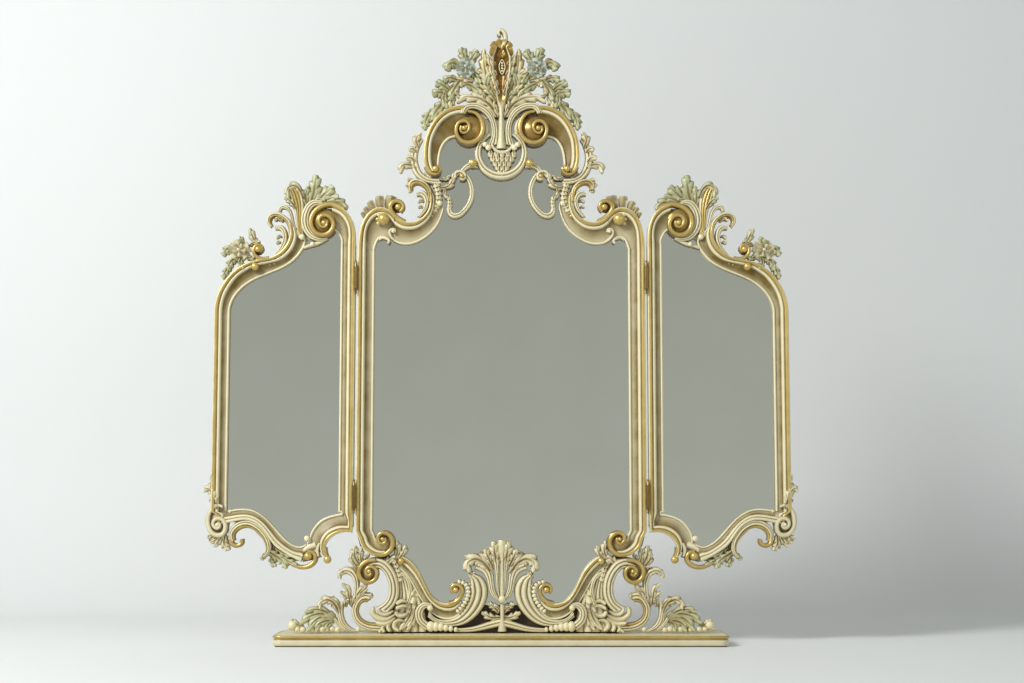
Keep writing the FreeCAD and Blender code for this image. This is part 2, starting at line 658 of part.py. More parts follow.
class Screws:
    """The wood screws of one body, with the bores that they need in the pieces they hold."""

    def __init__(self, name):
        self.name = name
        self.solids = []

    def add(self, spot, inward, length="sizes.screw_length"):
        """A screw whose head bears at a spot and whose shank runs inwards, and the shank alone as its bore."""
        count = len(self.solids)
        parts = []
        for use in ("shank", "bore"):
            parts.append(cylinder(f"{self.name}_{use}{count}", "sizes.screw_radius", length, spot, inward))
        head_name = f"{self.name}_head{count}"
        head = cylinder(head_name, "sizes.screw_head", "sizes.screw_head_height", spot, -inward)
        self.solids.append(joined(f"{self.name}_{count}", [parts[0], head]))
        return parts[1]


# Hinges

def hinge_axis_y():
    """Depth of the hinge axes, a little in front of the stiles."""
    return -relief - size("hinge_proud")


def hinge_half(name, axis_x, joint_z, fixed):
    """One half of a lift-off hinge: a knuckle with its finial and its leaf, and the pin on the fixed half."""
    side = 1 if fixed else -1
    start = joint_z if fixed else joint_z + size("knuckle_gap")
    along = Vector(0, 0, -side)
    axis = Vector(axis_x, hinge_axis_y(), start)
    length = size("knuckle_length")
    knuckle = cylinder(name + "_knuckle", "sizes.knuckle_radius", "sizes.knuckle_length", axis, along)
    finial = doc.addObject("Part::Cone", name + "_finial")
    finial.setExpression("Radius1", "sizes.finial_radius")
    finial.setExpression("Radius2", "sizes.finial_radius / 3")
    finial.setExpression("Height", "sizes.finial_length")
    finial.Placement = FreeCAD.Placement(axis + along * length, FreeCAD.Rotation(Vector(0, 0, 1), along))
    knob = doc.addObject("Part::Sphere", name + "_knob")
    knob.setExpression("Radius", "sizes.finial_radius / 1.5")
    knob.Placement.Base = axis + along * (length + size("finial_length"))
    plate_x = axis_x + size("hinge_gap") / 2 - size("hinge_leaf") if fixed else axis_x - size("hinge_gap") / 2
    plate_z = start - length if fixed else start
    plate = box(
        name + "_leaf", "sizes.hinge_leaf", "sizes.hinge_leaf_back - sizes.hinge_leaf_front",
        "sizes.knuckle_length", Vector(plate_x, axis.y + size("hinge_leaf_front"), plate_z),
    )
    half = joined(name + "_half", [knuckle, finial, knob, plate])
    if fixed:
        pin = cylinder(
            name + "_pin", "sizes.pin_radius", "sizes.pin_reach + sizes.knuckle_length / 2",
            axis + along * (length / 2), -along,
        )
        return joined(name + "_with_pin", [half, pin])
    cut = doc.addObject("Part::Cut", name + "_bored")
    cut.Base = half
    cut.Tool = cylinder(
        name + "_bore", "sizes.pin_radius + sizes.pin_clearance", "sizes.pin_reach + sizes.knuckle_gap",
        axis, Vector(0, 0, 1),
    )
    return cut


def hinge_heights():
    """Heights of the joints between the knuckles of the lower and the upper hinge."""
    return stile_foot + size("lower_hinge_rise"), stile_head - size("upper_hinge_drop")


def hinge_screws(screws, axis_x, joint_z, fixed):
    """Screws of one hinge half, and their bores."""
    depth = size("hinge_leaf_back") - size("hinge_leaf_front")
    y = hinge_axis_y() + size("hinge_leaf_front") + depth * HINGE_SCREW_DEPTH_SHARE
    inward = Vector(1, 0, 0) if fixed else Vector(-1, 0, 0)
    face = axis_x + inward.x * (size("hinge_gap") / 2 - size("hinge_leaf"))
    rise = -1 if fixed else 1
    bores = []
    for share in HINGE_SCREW_SHARES:
        z = joint_z + rise * size("knuckle_length") * share
        bores.append(screws.add(Vector(face, y, z), inward))
    return bores


def clips_for(name, screws, screw_xs, tip_directions, heights):
    """Back clips that hold a panel, each turned over its edge, with their screws and bores."""
    clips = []
    bores = []
    for x, way in zip(screw_xs, tip_directions):
        for z in heights:
            half_clip = size("clip_width") / 2
            start = x - half_clip if way > 0 else x + half_clip - size("clip_length")
            clip = box(
                f"{name}_clip{len(clips)}", "sizes.clip_length", "sizes.clip_thickness", "sizes.clip_width",
                Vector(start, ground, z - half_clip),
            )
            bore = screws.add(Vector(x, ground + size("clip_thickness"), z), Vector(0, -1, 0))
            clips.append(drilled(f"{name}_clip{len(clips)}_drilled", clip, [bore]))
            bores.append(bore)
    return clips, bores


# Centre frame

def walked_back(points):
    """The edge of an opening walked from its right end back to its left end."""
    return [(-x, z) for x, z in points] + points[::-1]


def make_centre_frame():
    """Stiles, boards, glass, backing, posts and fixings of the fixed part."""
    screws = Screws("centre_screw")
    axis_x = -half_width - size("hinge_gap") / 2
    halves = []
    stile_bores = []
    for count, joint_z in enumerate(hinge_heights()):
        bores = hinge_screws(screws, axis_x, joint_z, True)
        half = hinge_half(f"fixed{count}", axis_x, joint_z, True)
        halves.append(drilled(f"frame_hinge{count}", half, bores))
        stile_bores += bores
    hinges = keep("left_frame_hinges", group("left_frame_hinges", halves))
    keep("right_frame_hinges", mirror_of("right_frame_hinges", hinges))

    clip_x = -half_width + (stile - size("rebate")) / 2
    clip_heights = [stile_foot + size("stile_length") * share for share in CENTRE_CLIP_SHARES]
    clips, clip_bores = clips_for("centre", screws, [clip_x], [1], clip_heights)
    left_clips = group("left_clips", clips)
    keep("centre_clips", group("centre_clips", [left_clips, mirror_of("right_clips", left_clips)]))

    post_x = half_width * POST_PLACE_SHARE - size("post_width") / 2
    post = box(
        "left_post_blank", "sizes.post_width", "sizes.post_depth", POST_HEIGHT,
        Vector(post_x, ground, base_top),
    )
    screw_heights = (
        base_top + size("apron_height") * POST_FOOT_SCREW_SHARE,
        stile_head + size("crest_height") * POST_HEAD_SCREW_SHARE,
    )
    post_bores = []
    for z in screw_heights:
        spot = Vector(half_width * POST_PLACE_SHARE, ground + size("post_depth"), z)
        post_bores.append(screws.add(spot, Vector(0, -1, 0), "sizes.post_screw_length"))
    left_post = keep("left_back_post", drilled("left_back_post", post, post_bores))
    keep("right_back_post", mirror_of("right_back_post", left_post))
    left_screws = group("left_screws", screws.solids)
    keep("centre_screws", group("centre_screws", [left_screws, mirror_of("right_screws", left_screws)]))

    blank = moulded_stile("centre_stile_blank", "sizes.stile_length", stile, stile_foot)
    blank.Placement.Base.x = -half_width
    foot = doc.addObject("Part::Feature", "stile_foot_volute")
    foot.Shape = volute(apron(FOOT_SHARES), FOOT_RADIUS_SHARE)
    footed = joined("centre_stile_footed", [blank, foot])
    left_stile = keep("left_centre_stile", drilled("left_centre_stile", footed, stile_bores + clip_bores))
    keep("right_centre_stile", mirror_of("right_centre_stile", left_stile))

    crest_side = places(crest, CREST_BOARD_SHARES)
    crest_gap = places(crest_opening, CREST_OPENING_SHARES)
    apron_side = places(apron, APRON_BOARD_SHARES)
    apron_gap = places(apron_opening, APRON_OPENING_SHARES)
    twin_bores = [mirror_of(bore.Name + "_twin", bore) for bore in post_bores]
    boards = (("apron_board", apron_side, apron_gap, 0), ("crest_board", crest_side, crest_gap, 1))
    for name, side, gap, pick in boards:
        flat = board(name + "_blank", side + mirrored(side) + walked_back(gap), "sizes.ground_depth")
        keep(name, drilled(name, flat, [post_bores[pick], twin_bores[pick]]))
    opening = crest_gap + mirrored(crest_gap) + walked_back(apron_gap)
    glass = inset(opening, size("glass_clearance"))
    keep("centre_glass", board("centre_glass", glass, "sizes.glass_thickness"))
    keep("centre_back_panel", board(
        "centre_back_panel", glass, "sizes.ground_depth - sizes.glass_thickness", size("glass_thickness"),
    ))


# Carvings of the centre

def make_centre_carvings():
    foot = volute(apron(FOOT_SHARES), FOOT_RADIUS_SHARE)
    rosette = crest(ROSETTE_SHARES)
    fan = [rooted_leaf(rosette, crest(tip), 0.4, 0.36, 0.62) for tip in FAN_TIP_SHARES]
    lip = moulding(places(crest, SHOULDER_LIP_SHARES), SHOULDER_WIDTH_SHARES, 21, upright_start=True)
    shoulder = one_solid([lip, ball(rosette, 0.36, 0.9)] + fan)
    carving_pair("shoulder_scroll", shoulder)

    arch = one_solid([
        moulding(places(crest, ARCH_RIM_SHARES), ARCH_WIDTH_SHARES),
        volute(crest(VOLUTE_PLACE_SHARES), 0.78, 0.9),
        ball(crest(ARCH_BALL_SHARES), 0.2),
    ])
    arch = tidied(cleared(arch, [shoulder]))
    carving_pair("crest_arch", arch)

    stem = roll(places(crest, PLUME_SHARES), PLUME_WIDTH_SHARES, (0.9, 0.9, 0.8), 15)
    side = lobed_leaf(places(crest, PLUME_SIDE_SHARES), 0.5)
    rib = roll(places(crest, PLUME_RIB_SHARES), (0.2, 0.24, 0.2), (0.6, 0.6), 9)
    plume = one_solid([stem, side, twin_shape(side), rib, twin_shape(rib)])
    plume = tidied(cleared(plume, [arch, twin_shape(arch)]))
    carving("crest_plume", plume)

    middle_x, middle_z = crest(RING_SHARES)
    radius = half_width * RING_RADIUS_SHARE
    arc = []
    for step in range(RING_STEPS + 1):
        angle = RING_OPENING / 2 + (360 - RING_OPENING) * step / RING_STEPS
        arm = FreeCAD.Rotation(Vector(0, 1, 0), angle).multVec(Vector(0, 0, radius))
        arc.append((middle_x + arm.x, middle_z + arm.z))
    bead = ball(crest(RING_BALL_SHARES), 0.22)
    ring = one_solid([roll(arc, (0.3, 0.3), (0.5, 0.5), 25), bead, twin_shape(bead)])
    ring = tidied(cleared(ring, [plume, arch, twin_shape(arch)]))
    carving("crest_ring", ring)

    pendant = band(
        places(crest, PENDANT_SHARES), [stile * share for share in PENDANT_WIDTH_SHARES],
        [relief * share for share in (0.4, 0.6, 0.4)], LEAF_SHARES, 9,
    )
    carving("crest_pendant", tidied(cleared(pendant, [plume, ring])))

    leaves = [
        band(
            places(crest, spots), [stile * share for share in shares], [relief * 0.9, relief * 0.6],
            LEAF_SHARES, 9,
        )
        for spots, shares in ((HORN_SHARES, HORN_WIDTH_SHARES), (ACANTHUS_SHARES, ACANTHUS_WIDTH_SHARES))
    ]
    acanthus = tidied(cleared(one_solid(leaves), [plume, arch]))
    carving_pair("crest_acanthus", acanthus)

    side_leaf = one_solid([
        roll(places(crest, SIDE_LEAF_SHARES), SIDE_LEAF_WIDTH_SHARES, (0.5, 0.6, 0.5)),
        lobed_leaf(places(crest, SIDE_HORN_SHARES), 0.34, 0.5, 2),
    ])
    side_leaf = tidied(cleared(side_leaf, [arch, shoulder]))
    carving_pair("side_leaf", side_leaf)

    branch = roll(places(crest, BRANCH_SHARES), (0.12, 0.2, 0.24), (0.5, 0.6), 9)
    flower = ball(crest(FLOWER_SHARES), 0.4, 0.9)
    leaves = [lobed_leaf(places(crest, spots), 0.32, 0.5, 2) for spots in SPRAY_SHARES]
    spray = tidied(cleared(one_solid([branch, flower] + leaves), [arch, plume, acanthus, side_leaf]))
    carving_pair("flower_spray", spray)

    ear = one_solid([
        roll(places(crest, EAR_SHARES), EAR_WIDTH_SHARES, (0.5, 0.6, 0.5)),
        ball(crest(EAR_SHARES[0]), 0.2),
        lobed_leaf(places(crest, EAR_SHELL_SHARES), 0.4, 0.5, 2),
    ])
    carving_pair("ear_scroll", tidied(cleared(ear, [shoulder, arch, ring, side_leaf])))

    rail = one_solid([
        moulding(places(apron, APRON_LIP_SHARES), APRON_WIDTH_SHARES),
        volute(apron(APRON_VOLUTE_SHARES), 0.64, 0.9),
        roll(places(apron, SWEEP_SHARES), SWEEP_WIDTH_SHARES),
        lobed_leaf(places(apron, APRON_LEAF_SHARES), 0.42),
        roll(places(apron, BEAD_ROW_SHARES), (0.4, 0.4), (0.5, 0.5), 3),
    ])
    rail = tidied(cleared(above_base(rail), [foot]))
    carving_pair("apron_scroll", rail)

    console = one_solid([
        moulding(places(apron, CONSOLE_SHARES), CONSOLE_WIDTH_SHARES),
        volute(apron(CONSOLE_VOLUTE_SHARES), 0.52, 0.9),
        roll(places(apron, LOWER_SCROLL_SHARES), LOWER_SCROLL_WIDTH_SHARES),
        lobed_leaf(places(apron, LOWER_LEAF_SHARES), 0.36),
    ])
    console = tidied(cleared(above_base(console), [foot, rail]))
    carving_pair("console_scroll", console)

    grape_base = apron(GRAPE_BASE_SHARES)
    grapes = [rooted_leaf(grape_base, apron(tip), 0.1, 0.8, 0.5) for tip in GRAPE_TIP_SHARES]
    berries = [ball(apron(spot), 0.2) for spot in BERRY_SHARES]
    leaves = one_solid([
        roll(places(apron, UPPER_ACANTHUS_SHARES), (0.2, 0.36, 0.36, 0.3, 0.06)),
        lobed_leaf(places(apron, LOWER_ACANTHUS_SHARES), 0.4),
        roll(places(apron, S_LEAF_SHARES), (0.3, 0.4, 0.45, 0.4, 0.1)),
        ball(apron(BUD_SHARES), 0.25),
    ] + grapes + berries)
    carving_pair("console_leaves", tidied(cleared(above_base(leaves), [console])))

    palm_base = apron(PALM_BASE_SHARES)
    fronds = [rooted_leaf(palm_base, apron(tip), 0.15, 0.62, 0.7) for tip in PALM_TIP_SHARES]
    side = lobed_leaf(places(apron, PALM_SIDE_SHARES), 0.4)
    twins = [twin_shape(frond) for frond in fronds[:-1]] + [twin_shape(side)]
    stem = roll(places(apron, PALM_STEM_SHARES), (0.3, 0.4, 0.6), (0.9, 0.9), 5)
    palmette = above_base(one_solid(fronds + twins + [stem, side, ball(palm_base, 0.6, 0.9)]))
    carving("apron_palmette", tidied(cleared(palmette, [rail, twin_shape(rail)])))


# Wings

def make_wing():
    """The left wing and, as its mirror image, the right one."""
    screws = Screws("wing_screw")
    axis_x = -half_width - size("hinge_gap") / 2
    halves = []
    inner_bores = []
    for count, joint_z in enumerate(hinge_heights()):
        bores = hinge_screws(screws, axis_x, joint_z, False)
        half = hinge_half(f"moving{count}", axis_x, joint_z, False)
        halves.append(drilled(f"wing_hinge{count}", half, bores))
        inner_bores += bores
    clip_xs = [-wing_edge - wing_margin / 2, -wing_edge - size("wing_width") + wing_margin / 2]
    clip_heights = [wing_foot + size("wing_outer_length") * share for share in WING_CLIP_SHARES]
    clips, bores = clips_for("wing", screws, clip_xs, [-1, 1], clip_heights)
    inner_bores += bores[:len(clip_heights)]
    outer_bores = bores[len(clip_heights):]

    twin_blank = moulded_stile("wing_inner_blank", WING_INNER_LENGTH, wing_stile, wing_foot)
    twin_blank.Placement.Base.x = wing_edge
    inner = drilled("wing_inner_stile", mirror_of("wing_inner_turned", twin_blank), inner_bores)
    outer_blank = moulded_stile("wing_outer_blank", "sizes.wing_outer_length", wing_stile, wing_foot)
    outer_blank.Placement.Base.x = -wing_edge - size("wing_width")
    outer = drilled("wing_outer_stile", outer_blank, outer_bores)

    top_gap = places(wing_top_opening, WING_TOP_OPENING_SHARES)
    bottom_gap = places(wing_bottom_opening, WING_BOTTOM_OPENING_SHARES)
    top_outline = places(wing_top, WING_TOP_BOARD_SHARES) + top_gap[::-1]
    bottom_outline = places(wing_bottom, WING_BOTTOM_BOARD_SHARES) + bottom_gap[::-1]
    glass = inset(top_gap + bottom_gap[::-1], size("glass_clearance"))
    backing = "sizes.ground_depth - sizes.glass_thickness"
    pieces = {
        "wing_hinges": group("wing_hinges", halves),
        "wing_fixings": group("wing_fixings", clips + screws.solids),
        "wing_inner_stile": inner,
        "wing_outer_stile": outer,
        "wing_top_board": board("wing_top_board", top_outline, "sizes.ground_depth"),
        "wing_bottom_board": board("wing_bottom_board", bottom_outline, "sizes.ground_depth"),
        "wing_glass": board("wing_glass", glass, "sizes.glass_thickness"),
        "wing_back_panel": board("wing_back_panel", glass, backing, size("glass_thickness")),
    }
    for label, piece in pieces.items():
        keep("left_" + label, piece)
        keep("right_" + label, mirror_of("right_" + label, piece))


def make_wing_carvings():
    outer_block = stile_block(-wing_edge - size("wing_width"), wing_stile, wing_foot, wing_shoulder)
    inner_top = wing_shoulder + size("wing_rise") * WING_STEP_SHARE
    inner_block = stile_block(-wing_edge - wing_stile, wing_stile, wing_foot, inner_top)

    rail = moulding(places(wing_top, WING_LIP_SHARES), WING_LIP_WIDTH_SHARES, 19, upright_start=True)
    rail = one_solid([rail, ball(wing_top(WING_BALL_SHARES), 0.2)]).cut(outer_block)
    rail = tidied(rail)
    carving_pair("wing_top_rail", rail)

    crest_pieces = [
        moulding(places(wing_top, WING_NECK_SHARES), (0.3, 0.6, 0.88), 7),
        volute(wing_top(WING_HEAD_SHARES), WING_HEAD_RADIUS_SHARE * wing_stile / stile, 0.9),
        roll(places(wing_top, WING_BAND_SHARES), (0.2, 0.32, 0.32, 0.32, 0.2)),
        roll(places(wing_top, WING_PLUME_SHARES), WING_PLUME_WIDTH_SHARES, (0.6, 0.7, 0.5)),
    ]
    crest_pieces += [lobed_leaf(places(wing_top, spots), 0.3, 0.5, 2) for spots in WING_LEAF_SHARES]
    carving_pair("wing_crest", tidied(cleared(one_solid(crest_pieces), [rail, inner_block])))

    leaves = [lobed_leaf(places(wing_top, spots), 0.36, 0.5, 2) for spots in ROSE_LEAF_SHARES]
    rose = one_solid([ball(wing_top(ROSE_SHARES), 0.55, 0.9)] + leaves)
    carving_pair("wing_rose", tidied(cleared(rose, [rail])))

    low = [roll(places(wing_bottom, WING_RAIL_SHARES), WING_RAIL_WIDTH_SHARES, (0.9, 0.9), 25)]
    low += [roll(places(wing_bottom, spots), (0.25, 0.36, 0.2)) for spots in WING_CURL_SHARES]
    low += [ball(wing_bottom(spot), 0.24) for spot in WING_LOW_BALL_SHARES]
    low += [lobed_leaf(places(wing_bottom, spots), 0.34, 0.5) for spots in CORNER_LEAF_SHARES]
    low.append(lobed_leaf(places(wing_bottom, WING_LOW_LEAF_SHARES), 0.45))
    low.append(volute(wing_bottom(CORNER_SHARES), 0.5, 0.9))
    carving_pair("wing_bottom_rail", tidied(cleared(one_solid(low), [inner_block, outer_block])))


def write_parts():
    """Checks every object, then writes each sub-part."""
    doc.recompute()
    failed = [thing.Label for thing in doc.Objects if "Invalid" in thing.State or "Error" in thing.State]
    failed += [label for label, piece in nodes.items() if piece.Shape.isNull() or not piece.Shape.isValid()]
    if failed:
        raise RuntimeError("failed: " + ", ".join(failed))
    os.makedirs("parts", exist_ok=True)
    for label, piece in nodes.items():
        piece.Shape.exportStep(f"parts/{label}.step")
        print(label, len(piece.Shape.Solids), round(piece.Shape.Volume))


make_base()
make_centre_frame()
make_centre_carvings()
make_wing()
make_wing_carvings()
write_parts()
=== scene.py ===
"""A trifold mirror: carved ivory and gold rococo frames round three glasses on a long low base."""

import bpy
import numpy as np
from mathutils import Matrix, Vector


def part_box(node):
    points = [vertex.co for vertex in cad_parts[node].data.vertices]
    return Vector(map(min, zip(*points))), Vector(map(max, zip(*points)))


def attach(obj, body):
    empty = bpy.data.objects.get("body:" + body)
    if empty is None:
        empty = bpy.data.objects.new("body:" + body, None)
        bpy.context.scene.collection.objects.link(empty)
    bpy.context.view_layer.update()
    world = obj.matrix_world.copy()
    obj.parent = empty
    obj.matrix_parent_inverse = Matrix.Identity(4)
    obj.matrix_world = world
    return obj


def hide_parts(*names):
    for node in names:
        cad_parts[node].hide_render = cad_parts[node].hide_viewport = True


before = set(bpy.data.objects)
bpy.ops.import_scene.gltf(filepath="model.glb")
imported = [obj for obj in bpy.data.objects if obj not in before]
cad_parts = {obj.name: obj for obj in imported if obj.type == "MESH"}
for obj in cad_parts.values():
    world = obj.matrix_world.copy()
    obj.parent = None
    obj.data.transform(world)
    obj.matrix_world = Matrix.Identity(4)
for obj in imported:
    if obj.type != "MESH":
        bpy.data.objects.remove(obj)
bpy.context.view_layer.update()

MM = 0.001
SIDES = ("left", "right")

# The picture and the camera that sees it, in pixels, millimetres and radians
PICTURE_WIDTH = 1024
PICTURE_HEIGHT = 683
FOCAL_PIXELS = 1667.0
SENSOR_WIDTH = 36.0
CAMERA_AWAY = 4000.0
CAMERA_SIDE = 25.8
CAMERA_HEIGHT = 334.85
CAMERA_PITCH = np.radians(5.5)

# A pixel's size on the face of the frames; the carvings' lines and widths are given in pixels
PIXEL = CAMERA_AWAY / FOCAL_PIXELS


def node_box(node):
    """The lowest and highest corner of a node of the frame, in millimetres."""
    low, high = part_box(node)
    return np.array(low) / MM, np.array(high) / MM


# Read from the frame: corners of stiles and boards, the carving's height, and the wood behind the face
STILE_LOW, STILE_HIGH = node_box("left_centre_stile")
INNER_LOW, INNER_HIGH = node_box("left_wing_inner_stile")
OUTER_LOW, OUTER_HIGH = node_box("left_wing_outer_stile")
BOARD_LOW, BOARD_HIGH = node_box("base_board")
APRON_HIGH = node_box("apron_board")[1]
RELIEF = -OUTER_LOW[1]
BACKING = OUTER_HIGH[1]
STILE_WIDTH = 40.0
REBATE = 10.0

# The moulding's section: sizes in millimetres, then places and heights in radii of the lip
LIP_RADIUS = 4.6
RIDGE_WIDTH = 9.0
BEAD_RADIUS = 3.0
FULL_BAND = 36.0
NARROWEST = 0.5
RIDGE_AT = 2.2
RIDGE_FOOT = 1.6
RIDGE_SWELL = 0.9
RIDGE_POWER = 0.8
RIDGE_TILT = 0.5
COVE_TOP = 2.5
COVE_POWER = 1.6
COVE_START = 0.03
COVE_SPAN = 0.95
COVE_FLOOR = 0.3
BEAD_SWELL = 1.4
ROUND_POINTS = 9
COVE_POINTS = 12

# The moulding's finish: gold, and umber glaze with painted shade in its hollows, across its members
LIP_GILT = np.array([0.0, 0.1, 0.25, 0.5, 0.8, 1.0, 1.0, 1.0, 1.0])
RIDGE_GILT = 0.08
BEAD_GILT = 0.05
LIP_GLAZE = 0.1
# Painted shade with the glaze: dark at the feet of the ridge and the bead and light on their crowns, the
# cove darkest under the ridge, and the sight edge's wall down to the glass dark
RIDGE_GLAZE_AND_SHADE = np.array([1.0, 0.4, 0.1, 0.0, 0.0, 0.0, 0.1, 0.3, 0.7])
BEAD_GLAZE_AND_SHADE = np.array([0.9, 0.4, 0.1, 0.0, 0.0, 0.0, 0.1, 0.2, 0.4])
COVE_FADE = 0.55
SIGHT_EDGE_SHADE = 0.8
BACK_GLAZE = 0.2

# Ribbed scrolls: points to a ridge, its roundness, the dome over them all, and how deep valleys may be
RIB_POINTS = 8
RIB_POWER = 0.7
RIB_DOME = 0.6
VALLEY_BY_WIDTH = 0.5
VALLEY_BY_HEIGHT = 0.38
RIB_NARROWEST = 0.4

# Leaves: the grid, the outline from root to tip, the lobes and their lean, and the section
LEAF_STATIONS = 44
LEAF_ACROSS = 17
LEAF_BACK = 5
LEAF_LINE = 80
BACK_REACH = 0.8
ROOT_WIDTH = 0.45
ROOT_SWELL = 0.55
FULL_AT = 0.4
TIP_WIDTH = 0.04
LOBE_CREST = 0.8
LOBE_POWER = 0.8
LOBE_END = 0.2
LOBES_FROM = 0.15
NOTCH_DEPTH = 0.45
LEAN = 0.8
LEAN_POWER = 1.3
LEAF_ARCH = 0.65
GROOVE_WIDTH = 0.17
GROOVE_DEPTH = 0.2
FURROW_DEPTH = 0.13
DISH_DEPTH = 0.8
UNDERCUT = 0.12

# Other grids, the straight lead into a stile's end, and the rows and fans that close a shell
BAND_STATIONS = 110
RIM_STATIONS = 90
JOIN_STATIONS = 600
LEAD = 30.0
LEAD_GAP = 0.5
HOLD = 0.02
FAN_BACK = 0.65

# What a carving's points carry for its finish
# The second value is umber glaze and painted shade: darkening in coves, valleys, furrows and at the feet of
# forms
FINISH = ("gilt", "glaze_and_shade", "tint")

# Patches in the finishes: a cloth's wipe marks in the lacquer, its crackle drawn coarse enough to show,
# and tarnish in the silver
WIPE_PATCH = 36.0
CRACKLE = 4.8
TARNISH = 165.0

# The base board, in millimetres: round corners, the section up to the gold bead on its top edge, and the
# top, which lies a little under the bead
BASE_CORNER = 22.0
BASE_INSETS = (4.0, 2.0, 2.0, 3.0)
BASE_HEIGHTS = (0.0, 2.0, 13.0, 14.5)
# Glaze up the section: painted shade at the foot on the floor and in the step under the bead
BASE_GLAZE_AND_SHADE = (0.8, 0.2, 0.2, 1.0)
BASE_BEAD = 3.4
BASE_TOP = 24.0
BASE_LEDGE = 3.0
BASE_SINK = 0.5
BASE_ROUND = 96

# The studio, in metres: the floor's front edge and half width, the sweep up to the wall, the wall's top
FLOOR_FRONT = -12.0
FLOOR_HALF = 14.0
SWEEP_START = 0.9
SWEEP_RADIUS = 0.6
WALL_AT = 1.5
WALL_TOP = 9.0
LAMP_AIM = np.array([0.0, 0.0, 0.7])
LAMPS = (("key", (-3.2, -3.0, 3.2), 1.3, 212.0), ("fill", (3.2, -3.6, 1.8), 2.4, 24.0))
AIR_LIGHT = 0.34
MIRROR_BOUNCES = 24


# Lines


def face(pixels):
    """Where the camera's rays through pixels meet the face of the frames: x and z in millimetres."""
    pixels = np.asarray(pixels, float)
    sine, cosine = np.sin(CAMERA_PITCH), np.cos(CAMERA_PITCH)
    rise = (PICTURE_HEIGHT / 2 - pixels[..., 1]) / FOCAL_PIXELS
    climb = (sine + rise * cosine) / (cosine - rise * sine)
    z = CAMERA_AWAY * climb
    depth = CAMERA_AWAY * cosine + z * sine
    x = (pixels[..., 0] - PICTURE_WIDTH / 2) * depth / FOCAL_PIXELS + CAMERA_SIDE
    return np.stack([x, z + CAMERA_HEIGHT], -1)


def lengths(line):
    """The length run from a line's start to each of its points."""
    return np.concatenate([[0.0], np.cumsum(np.linalg.norm(np.diff(line, axis=0), axis=1))])


def evenly(line, count):
    """The same line read at even lengths along it."""
    run = lengths(line)
    want = np.linspace(0.0, run[-1], count)
    return np.stack([np.interp(want, run, line[:, 0]), np.interp(want, run, line[:, 1])], -1)


def smooth_line(points, count=200):
    """A natural cubic spline through points over their chord lengths, read at even lengths."""
    points = np.asarray(points, float)
    if len(points) == 2:
        return evenly(points, count)
    chord = np.linalg.norm(np.diff(points, axis=0), axis=1)
    knot = np.concatenate([[0.0], np.cumsum(chord)])
    inner = np.arange(1, len(points) - 1)
    system = np.eye(len(points))
    system[inner, inner - 1] = chord[:-1]
    system[inner, inner] = 2.0 * (chord[:-1] + chord[1:])
    system[inner, inner + 1] = chord[1:]
    bend = np.zeros_like(points)
    bend[1:-1] = 6.0 * np.diff(np.diff(points, axis=0) / chord[:, None], axis=0)
    bend = np.linalg.solve(system, bend)
    at = np.linspace(0.0, knot[-1], 30 * len(points))
    span = np.clip(np.searchsorted(knot, at, side="right") - 1, 0, len(chord) - 1)
    b = ((at - knot[span]) / chord[span])[:, None]
    a = 1.0 - b
    pull = (a**3 - a) * bend[span] + (b**3 - b) * bend[span + 1]
    line = a * points[span] + b * points[span + 1] + pull * (chord[span] ** 2)[:, None] / 6.0
    return evenly(line, count)


def drawn(pixels):
    """A smooth line through pixels, on the face."""
    return smooth_line(face(pixels))


def joined(start, pixels, rise):
    """A smooth line from a stile's end through pixels, which leaves the end straight up (rise 1) or down
    (rise -1)."""
    before = np.array(start) - np.array([0.0, rise * LEAD])
    line = smooth_line(np.concatenate([[before], [start], face(pixels)]), JOIN_STATIONS)
    return np.concatenate([[start], line[lengths(line) > LEAD + LEAD_GAP]])


def read_at(line, share):
    """Points of a line at shares of its length."""
    base = np.linspace(0.0, 1.0, len(line))
    return np.stack([np.interp(share, base, line[:, 0]), np.interp(share, base, line[:, 1])], -1)


def square_to(line):
    """Unit vectors in the face, square to a line."""
    run = np.gradient(line, axis=0)
    run /= np.maximum(np.linalg.norm(run, axis=1, keepdims=True), 1e-9)
    return np.stack([-run[:, 1], run[:, 0]], -1)


def spread(values, count):
    """A few values drawn out evenly over a count of stations."""
    return np.interp(np.linspace(0.0, 1.0, count), np.linspace(0.0, 1.0, len(values)), values)


def ramp(value, start, length):
    """0 up to a start, then evenly up to 1 over a length."""
    return np.clip((value - start) / length, 0.0, 1.0)


# Carved forms


def shell(xz, height, gilt=0.0, glaze_and_shade=0.0, tint=0.0):
    """Rows of closed loops: places on the face, heights in front of it, and the finish of every point."""
    points = np.stack([xz[..., 0], -height, xz[..., 1]], -1)
    finish = [np.broadcast_to(value, height.shape) for value in (gilt, glaze_and_shade, tint)]
    return points, np.stack(finish, -1)


